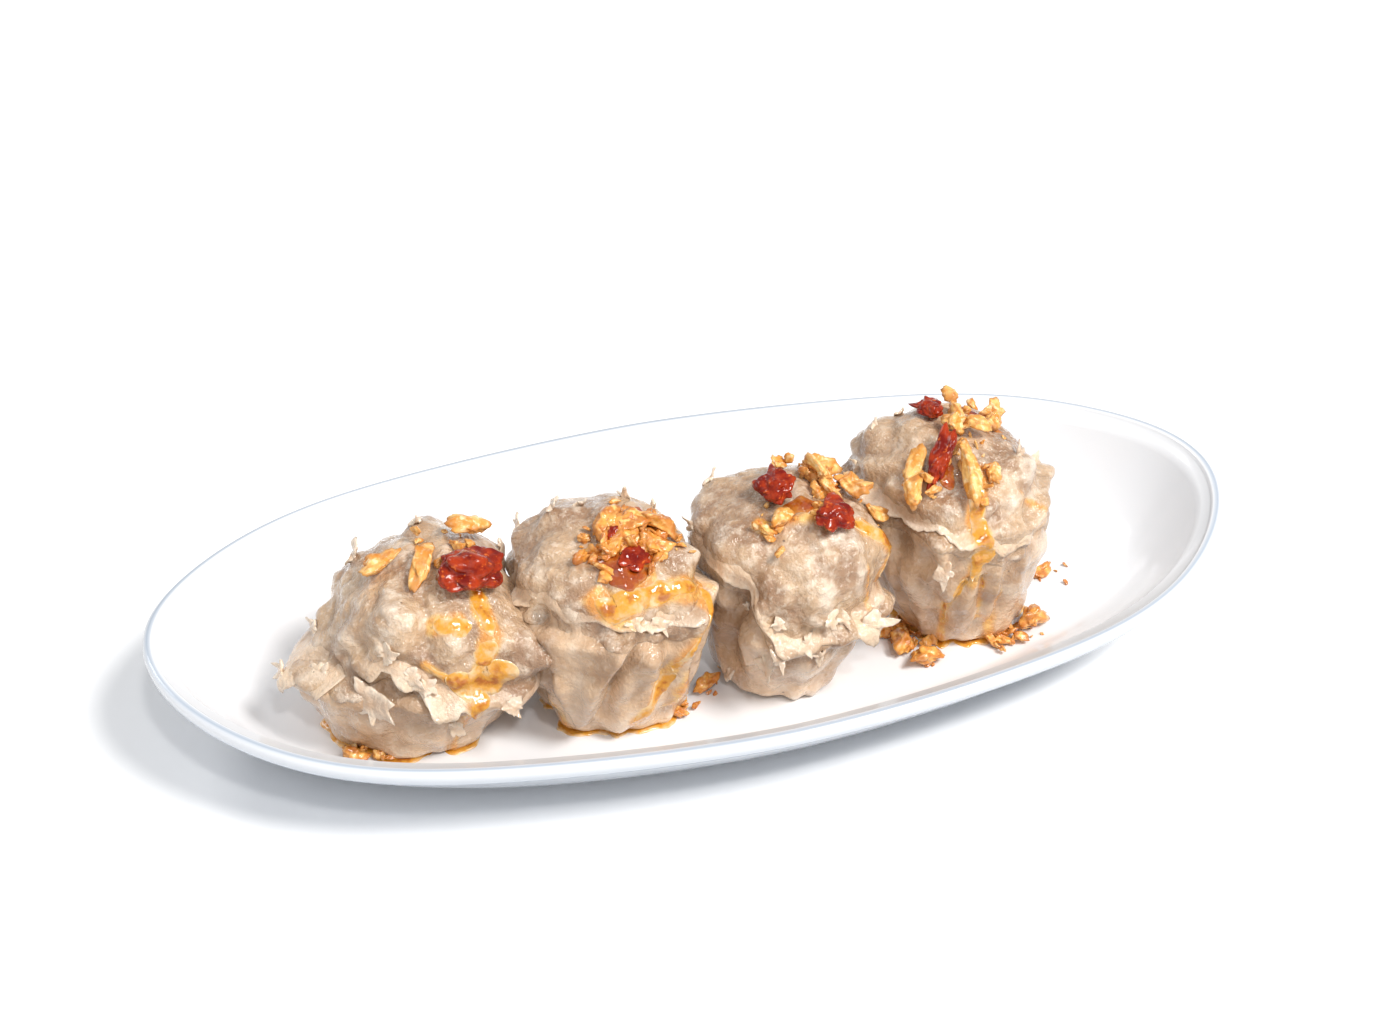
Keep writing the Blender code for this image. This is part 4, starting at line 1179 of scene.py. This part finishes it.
# %% [markdown]
# ## Crumbs
#
# Frying leaves many crumbs too small to chop. They fill the gaps between the shards and lie
# round the foot of each dumpling, so they are scattered with a fixed seed near each shard.

# %% Clusters: (dumpling, azimuth, elevation, spread in degrees, how many, size in mm)
CLUSTERS = (
    (1, -20, 62, 11, 7, 1.5), (1, -75, 70, 8, 2, 1.2), (2, -117, 64, 8, 12, 1.7), (2, -75, 76, 10, 20, 1.6),
    (2, -10, 62, 10, 20, 1.6), (2, -50, 64, 9, 12, 1.4), (3, 10, 74, 13, 12, 1.9), (3, 25, 52, 9, 6, 1.7),
    (3, -130, 60, 8, 6, 1.4), (3, -80, 68, 8, 4, 1.4), (4, 40, 68, 13, 8, 1.6), (4, -135, 50, 8, 7, 1.5),
    (4, -84, 50, 8, 4, 1.3), (4, -100, 66, 6, 3, 1.3),
)


def tumbled(chance, size):
    """Random axes and half-sizes for a small chip."""
    turn = np.linalg.qr(chance.normal(size=(3, 3)))[0]
    return turn, np.array([1.45, 1.0, 0.65]) * size * chance.uniform(0.7, 1.25)


# Crumbs at the feet: (dumpling, azimuth, its spread, how far out in mm, how many, size in mm)
FOOT_CRUMBS = (
    (4, -148, 13, 2.4, 24, 1.3), (4, -58, 9, 2.2, 22, 1.3), (1, -138, 8, 1.2, 14, 1.0),
    (2, -42, 6, 1.4, 8, 1.0), (1, 150, 8, 1.2, 8, 1.0), (3, 40, 20, 1.5, 6, 0.8),
)
CRUMB_SEED, CRUMB_SIZES, GLAZED_SHARE = 12, (0.4, 0.95), 0.3
CRUMBS_PER_SHARD, CRUMBS_PER_PLATE_SHARD = 3, 7
chance = np.random.default_rng(CRUMB_SEED)
heap, glazed = Heap(), Heap()
for home, azimuth, elevation, spread, count, size in CLUSTERS:
    for _ in range(count):
        middle_way = unit(azimuth, elevation)
        way = middle_way + chance.normal(size=3) * math.radians(spread) * 0.7
        place, facing = touch(home, way)
        turn, stretch = tumbled(chance, size * MM)
        form, faces, edge = shard(int(chance.integers(1, 9999)), int(chance.choice((3, 4))))
        place = np.array(place + facing * size * (0.3 + 0.8 * chance.random()) * MM)
        coated = glazed if home == 2 or chance.random() < GLAZED_SHARE else heap
        coated.add(place_form(form, place, turn, stretch), faces, edge + 0.15)

# %% Crumbs near the shards, on the dumplings and on the plate
for (kind, home), names in sorted(groups.items()):
    if kind != "garlic":
        continue
    for name in names:
        middle, axes, halves = solid_axes(name)
        for _ in range(CRUMBS_PER_SHARD if home else CRUMBS_PER_PLATE_SHARD):
            size = chance.uniform(*CRUMB_SIZES) * MM
            shift = chance.normal(size=3) * (halves[0] * 0.6 + 0.4 * MM)
            if home:
                place, facing = touch(home, middle + shift - skins[home]["centre"])
                place = np.array(place + facing * size * 0.5)
            else:
                place = np.array([middle[0] + shift[0], middle[1] + shift[1], FLOOR_TOP + size * 0.6])
            form, faces, edge = shard(int(chance.integers(1, 9999)), 3)
            turn, stretch = tumbled(chance, size)
            coated = heap if home else glazed
            coated.add(place_form(form, place, turn, stretch), faces, edge)
for home, azimuth, spread, away, count, size in FOOT_CRUMBS:
    centre = skins[home]["centre"]
    level = Vector((centre[0], centre[1], FLOOR_TOP + 1.0 * MM))
    for _ in range(count):
        way = Vector(unit(azimuth + chance.normal() * spread, 0.0))
        place = skins[home]["tree"].ray_cast(level + way * FOOT_CAST, -way)[0]
        half = size * chance.uniform(0.6, 1.2) * MM
        shift = Vector((0.0, 0.0, half * chance.uniform(-0.3, 0.6)))
        place = place + way * abs(chance.normal()) * away * MM + shift
        form, faces, edge = shard(int(chance.integers(1, 9999)), int(chance.choice((3, 4))))
        turn, stretch = tumbled(chance, half)
        glazed.add(place_form(form, np.array(place), turn, stretch), faces, edge)
heap.finish("garlic_crumbs", garlic, "garlic")
glazed.finish("glazed_garlic_crumbs", glazed_garlic, "garlic")

# %% [markdown]
# ## Sauce and oil
#
# Chilli oil runs down from the toppings and collects at the foot of each dumpling. A film of it
# follows the surface under it, bridges the small cracks, and has a rounded top that thins to
# nothing at its rim. So each film is a strip of points cast onto the finished dumpling.

# %% Oil and sauce finishes
def liquid(name, thin, middle, thick):
    """Oil or sauce, coloured by how deep it stands."""
    recipe = Recipe(name, **{
        "Subsurface Weight": 0.08, "Subsurface Radius": (1.0, 0.45, 0.1), "Subsurface Scale": 0.001,
        "Coat Weight": 1.0, "Coat Roughness": 0.03, "IOR": 1.47,
    })
    swirl = recipe.span(recipe.noise(420.0, 3.0, 0.55), 0.3, 0.7, -0.3, 0.3)
    depth = recipe.math("ADD", recipe.stored("depth"), swirl)
    colour = recipe.mix(recipe.span(depth, 0.1, 0.7), thin, middle)
    colour = recipe.mix(recipe.span(depth, 0.7, 1.15), colour, thick)
    roughness = recipe.span(swirl, -0.3, 0.3, 0.05, 0.14)
    normal = recipe.bump(recipe.noise(800.0, 2.0), 0.5, 0.0006)
    return recipe.finish(colour=colour, roughness=roughness, normal=normal)


amber_oil = liquid("amber_oil", (0.78, 0.55, 0.30), (0.72, 0.33, 0.035), (0.46, 0.13, 0.006))
red_sauce = liquid("red_sauce", (0.52, 0.18, 0.025), (0.36, 0.065, 0.006), (0.19, 0.022, 0.003))


# %% Films on the dumplings
EDGE_SINK, BACK_SINK, CRACK_DEPTH = 0.12, 0.3, 0.05


def film(number, stops, widths, thickness, seed, steps=58, lanes=13):
    """A film through directions (azimuth, elevation), with half-widths in mm at its stops."""
    # The path, eased between its stops, and the direction across it
    ways = np.array([unit(*stop) for stop in stops])
    where = np.linspace(0.0, len(stops) - 1.0, steps)
    low = np.minimum(where.astype(int), len(stops) - 2)
    share = smooth_step(where - low)[:, None] * 0.5 + (where - low)[:, None] * 0.5
    path = ways[low] * (1 - share) + ways[low + 1] * share
    path /= np.linalg.norm(path, axis=1, keepdims=True)
    ahead = np.gradient(path, axis=0)
    side = np.cross(path, ahead)
    side /= np.linalg.norm(side, axis=1, keepdims=True)
    # Half-widths that are ragged on each side by itself, and close in at both ends
    width = np.interp(where, range(len(widths)), widths)
    ends = np.sqrt(np.clip(np.minimum(where, len(stops) - 1.0 - where) / 0.35, 0.0, 1.0))
    lane = np.linspace(-1.0, 1.0, lanes)
    ragged = 1.0 + 0.45 * ripple(path * NOISE_RADIUS + seed, 2.2 * MM, seed)[:, None] * np.ones(lanes)
    other = 1.0 + 0.45 * ripple(path * NOISE_RADIUS + seed + 9, 2.2 * MM, seed + 9)[:, None] * np.ones(lanes)
    spread = np.where(lane < 0.0, ragged, other) * (width * ends)[:, None] * lane
    ways = path[:, None, :] * DOME_RADIUS + side[:, None, :] * spread[..., None]
    ways /= np.linalg.norm(ways, axis=-1, keepdims=True)
    # Each point is cast onto the dumpling, and the film bridges small cracks along its way
    centre = skins[number]["centre"]
    hits = np.array([touch(number, way)[0][:] for way in ways.reshape(-1, 3)]).reshape(ways.shape)
    reach = np.linalg.norm(hits - centre, axis=-1)
    level = reach
    for _ in range(3):
        mean = (np.roll(level, 1, 0) + np.roll(level, -1, 0) + 2 * level) / 4
        level = np.maximum(level, mean - CRACK_DEPTH * MM)
    # A rounded section whose edges and back lie under the skin
    profile = np.sqrt(np.clip(1.0 - lane**2, 0.0, 1.0))[None, :] * ends[:, None]
    blob = 0.75 + 0.5 * ripple(ways * NOISE_RADIUS, 2.5 * MM, seed + 3)
    rise = (thickness * profile * blob - EDGE_SINK) * MM
    outer = centre + ways * (np.maximum(level, reach) + rise)[..., None]
    inner = centre + ways * (reach - BACK_SINK * MM)[..., None]
    points = np.concatenate([outer, inner[:, ::-1]], axis=1).reshape(-1, 3)
    depth = np.clip(profile * blob, 0.0, 1.0)
    depth = np.concatenate([depth, depth[:, ::-1]], axis=1).reshape(-1)
    return points, ring_faces(steps, 2 * lanes)[:, ::-1], depth


# Films: (dumpling, stops as directions, half-widths in mm, thickness in mm)
OIL_FILMS = (
    (1, ((-44, 48), (-52, 40), (-57, 32), (-61, 23)), (1.0, 1.5, 1.1, 0.8), 0.5),
    (1, ((-61, 21), (-66, 15), (-69, 10)), (1.0, 1.6, 1.0), 0.5),
    (1, ((-57, 9), (-66, 3), (-76, 3), (-87, 7)), (1.4, 2.9, 2.8, 1.0), 0.7),
    (1, ((-71, -2), (-75, -10), (-79, -22)), (1.8, 1.0, 0.4), 0.5),
    (1, ((-88, 36), (-77, 34), (-66, 30)), (1.2, 2.0, 1.4), 0.5),
    (1, ((-97, 17), (-90, 10), (-80, 4)), (0.5, 0.6, 0.9), 0.4),
    (2, ((-112, 40), (-99, 35), (-80, 38), (-62, 37), (-36, 27)), (1.0, 2.6, 2.2, 2.2, 0.8), 0.6),
    (2, ((-33, 23), (-46, 13), (-57, -2), (-64, -16)), (0.7, 0.8, 0.6, 0.5), 0.35),
    (2, ((-62, -18), (-69, -30), (-82, -39), (-91, -45)), (0.4, 1.1, 1.3, 0.4), 0.4),
    (3, ((-46, 54), (-38, 44), (-33, 34), (-25, 20), (-34, 8)), (0.8, 1.2, 1.3, 1.2, 0.5), 0.5),
    (3, ((-146, 58), (-134, 60), (-118, 63)), (0.7, 1.6, 0.8), 0.4),
    (4, ((-88, 50), (-94, 44), (-96, 33), (-92, 14), (-97, -4)), (0.9, 1.3, 1.4, 2.3, 1.0), 0.55),
    (4, ((-99, -4), (-104, -14), (-110, -30), (-109, -52)), (1.4, 1.1, 0.4, 0.35), 0.4),
    (4, ((-88, -8), (-86, -22)), (0.4, 0.3), 0.3),
)
SAUCE_FILMS = (
    (2, ((-122, 66), (-96, 60), (-76, 56), (-48, 58)), (2.0, 3.4, 3.4, 1.8), 1.0),
    (2, ((-104, 52), (-88, 49), (-70, 52)), (1.0, 2.1, 1.0), 0.9),
    (2, ((-40, 66), (10, 66), (10, 58)), (2.0, 3.0, 1.6), 0.8),
    (3, ((-120, 76), (-70, 74), (-46, 64)), (1.6, 2.6, 1.4), 0.7),
    (3, ((-40, 58), (10, 60), (20, 50)), (1.2, 1.8, 1.0), 0.6),
    (4, ((-124, 72), (-120, 58), (-112, 48)), (1.4, 1.6, 1.0), 0.6),
    (4, ((60, 70), (20, 66), (0, 58)), (1.2, 1.8, 1.0), 0.5),
    (1, ((-70, 62), (-40, 56), (-30, 48)), (1.0, 2.4, 1.0), 0.6),
)
for title, films, material in (("oil", OIL_FILMS, amber_oil), ("sauce", SAUCE_FILMS, red_sauce)):
    heap = Heap()
    for index, (number, stops, widths, thickness) in enumerate(films):
        points, faces, depth = film(number, stops, widths, thickness, 31 * index + len(title))
        heap.add(points, faces, depth)
    heap.finish(f"{title}_films", material, "oil", layer="depth", turn_out=False)

# %% [markdown]
# ## Oil round the feet
#
# On the plate the oil makes a thin ring that clings to each dumpling's foot, with a wider, more
# ragged outer edge where more of it ran down.

# %% Oil rings: {dumpling: ((azimuth, width in mm), ...)}
FOOT_OIL = {
    1: ((-180, 1.6), (-160, 1.1), (-125, 2.0), (-100, 0.6), (-75, 1.3), (-50, 0.5), (0, 0.2),
        (90, 0.2)),
    2: ((-180, 1.6), (-150, 2.2), (-125, 1.0), (-90, 0.9), (-60, 1.3), (-30, 1.5), (0, 0.5), (90, 0.2)),
    3: ((-180, 0.6), (-140, 0.5), (-90, 0.3), (-40, 1.0), (0, 0.8), (90, 0.3)),
    4: ((-180, 2.8), (-150, 2.8), (-120, 2.0), (-95, 1.2), (-70, 1.5), (-45, 2.2), (-20, 2.2),
        (20, 0.6), (90, 0.4)),
}


# The ring's section: (across, from inside the foot at -1.2 to the edge at 1, height in mm, depth)
FOOT_SECTION = (
    (-1.2, 0.8, 1.0), (-0.2, 0.62, 1.0), (0.2, 0.42, 0.9), (0.5, 0.36, 0.7), (0.8, 0.26, 0.5),
    (0.95, 0.12, 0.3), (1.0, -0.1, 0.15),
)
FOOT_RADIUS = 0.012


def foot_ring(number, steps=240):
    """Rows of points round one foot, and how deep the oil stands at each."""
    angle = np.linspace(0.0, 2.0 * math.pi, steps, endpoint=False)
    centre = skins[number]["centre"]
    level = Vector((centre[0], centre[1], FLOOR_TOP + 0.5 * MM))
    tree = skins[number]["tree"]
    # How far the foot reaches in each direction
    reach = []
    for way in toward(angle, 0.0 * angle):
        place = tree.ray_cast(level + Vector(way) * FOOT_CAST, -Vector(way))[0]
        reach.append((place - level).length if place else FOOT_RADIUS)
    reach = np.array(reach)
    width = around(FOOT_OIL[number], 1, angle) * (1.0 + 0.5 * ring_noise(angle, 2.0 * MM, number + 70))
    # Where the ring is narrow it sinks into the plate, which leaves that part of the foot dry
    dry = np.clip((0.9 - width) / 0.5, 0.0, 1.0)
    width = np.maximum(width, 0.15)
    rows = []
    for across, height, _ in FOOT_SECTION:
        distance = reach + np.where(across < 0, across * MM, across * width * MM)
        flat = toward(angle, 0.0 * angle) * distance[:, None]
        flat[:, 2] = (height - 1.2 * dry) * MM
        rows.append(np.array([centre[0], centre[1], FLOOR_TOP]) + flat)
    depth = np.array([depth for _, _, depth in FOOT_SECTION])[:, None]
    return np.array(rows), depth * np.clip(0.4 + width * 0.4, 0, 1)


heap = Heap()
for number in skins:
    rows, depth = foot_ring(number)
    faces = ring_faces(*rows.shape[:2])[:, ::-1]
    heap.add(rows.reshape(-1, 3), faces, depth.reshape(-1))
heap.finish("oil_round_feet", amber_oil, "oil", layer="depth")

# %% [markdown]
# ## Stage and light
#
# A plain white table in a white surround. The key lamp is to the front right, and a wide fill
# lamp to the front left. A small lamp in front gives wet glints, and a faint one lifts the back.

# %% Table
bpy.ops.mesh.primitive_plane_add(size=6.0, location=(0.0, 0.0, -0.0002))
table = bpy.context.object
table.name = "table"
table_recipe = Recipe("table_white", Roughness=0.6)
table_tone = table_recipe.mix(table_recipe.noise(3.0, 2.0), (0.93, 0.93, 0.935), (0.96, 0.96, 0.96))
table.data.materials.append(table_recipe.finish(colour=table_tone))

# %% Lamps
def soft_lamp(name, place, size, power, colour=(1.0, 1.0, 1.0)):
    """A round area lamp that faces the dumplings."""
    lamp = bpy.data.objects.new(name, bpy.data.lights.new(name, "AREA"))
    lamp.data.shape = "DISK"
    lamp.data.size = size
    lamp.data.energy = power
    lamp.data.color = colour
    lamp.location = place
    away = Vector(place) - Vector((0.0, 0.0, 0.02))
    lamp.rotation_euler = away.to_track_quat("Z", "Y").to_euler()
    bpy.context.scene.collection.objects.link(lamp)


soft_lamp("key", (0.62, -0.72, 1.3), 0.45, 23.0, (1.0, 0.985, 0.965))
soft_lamp("back", (-0.6, 0.95, 1.1), 0.5, 3.5)
soft_lamp("sparkle", (0.05, -0.95, 1.35), 0.12, 5.0)
soft_lamp("fill", (-0.9, -1.0, 0.9), 1.2, 3.0, (0.96, 0.98, 1.0))
world = bpy.data.worlds.new("studio")
world.use_nodes = True
surround = world.node_tree.nodes["Background"].inputs
surround["Color"].default_value = (0.95, 0.97, 1.0, 1.0)
surround["Strength"].default_value = 0.46
bpy.context.scene.world = world
bpy.context.scene.view_settings.view_transform = "Standard"
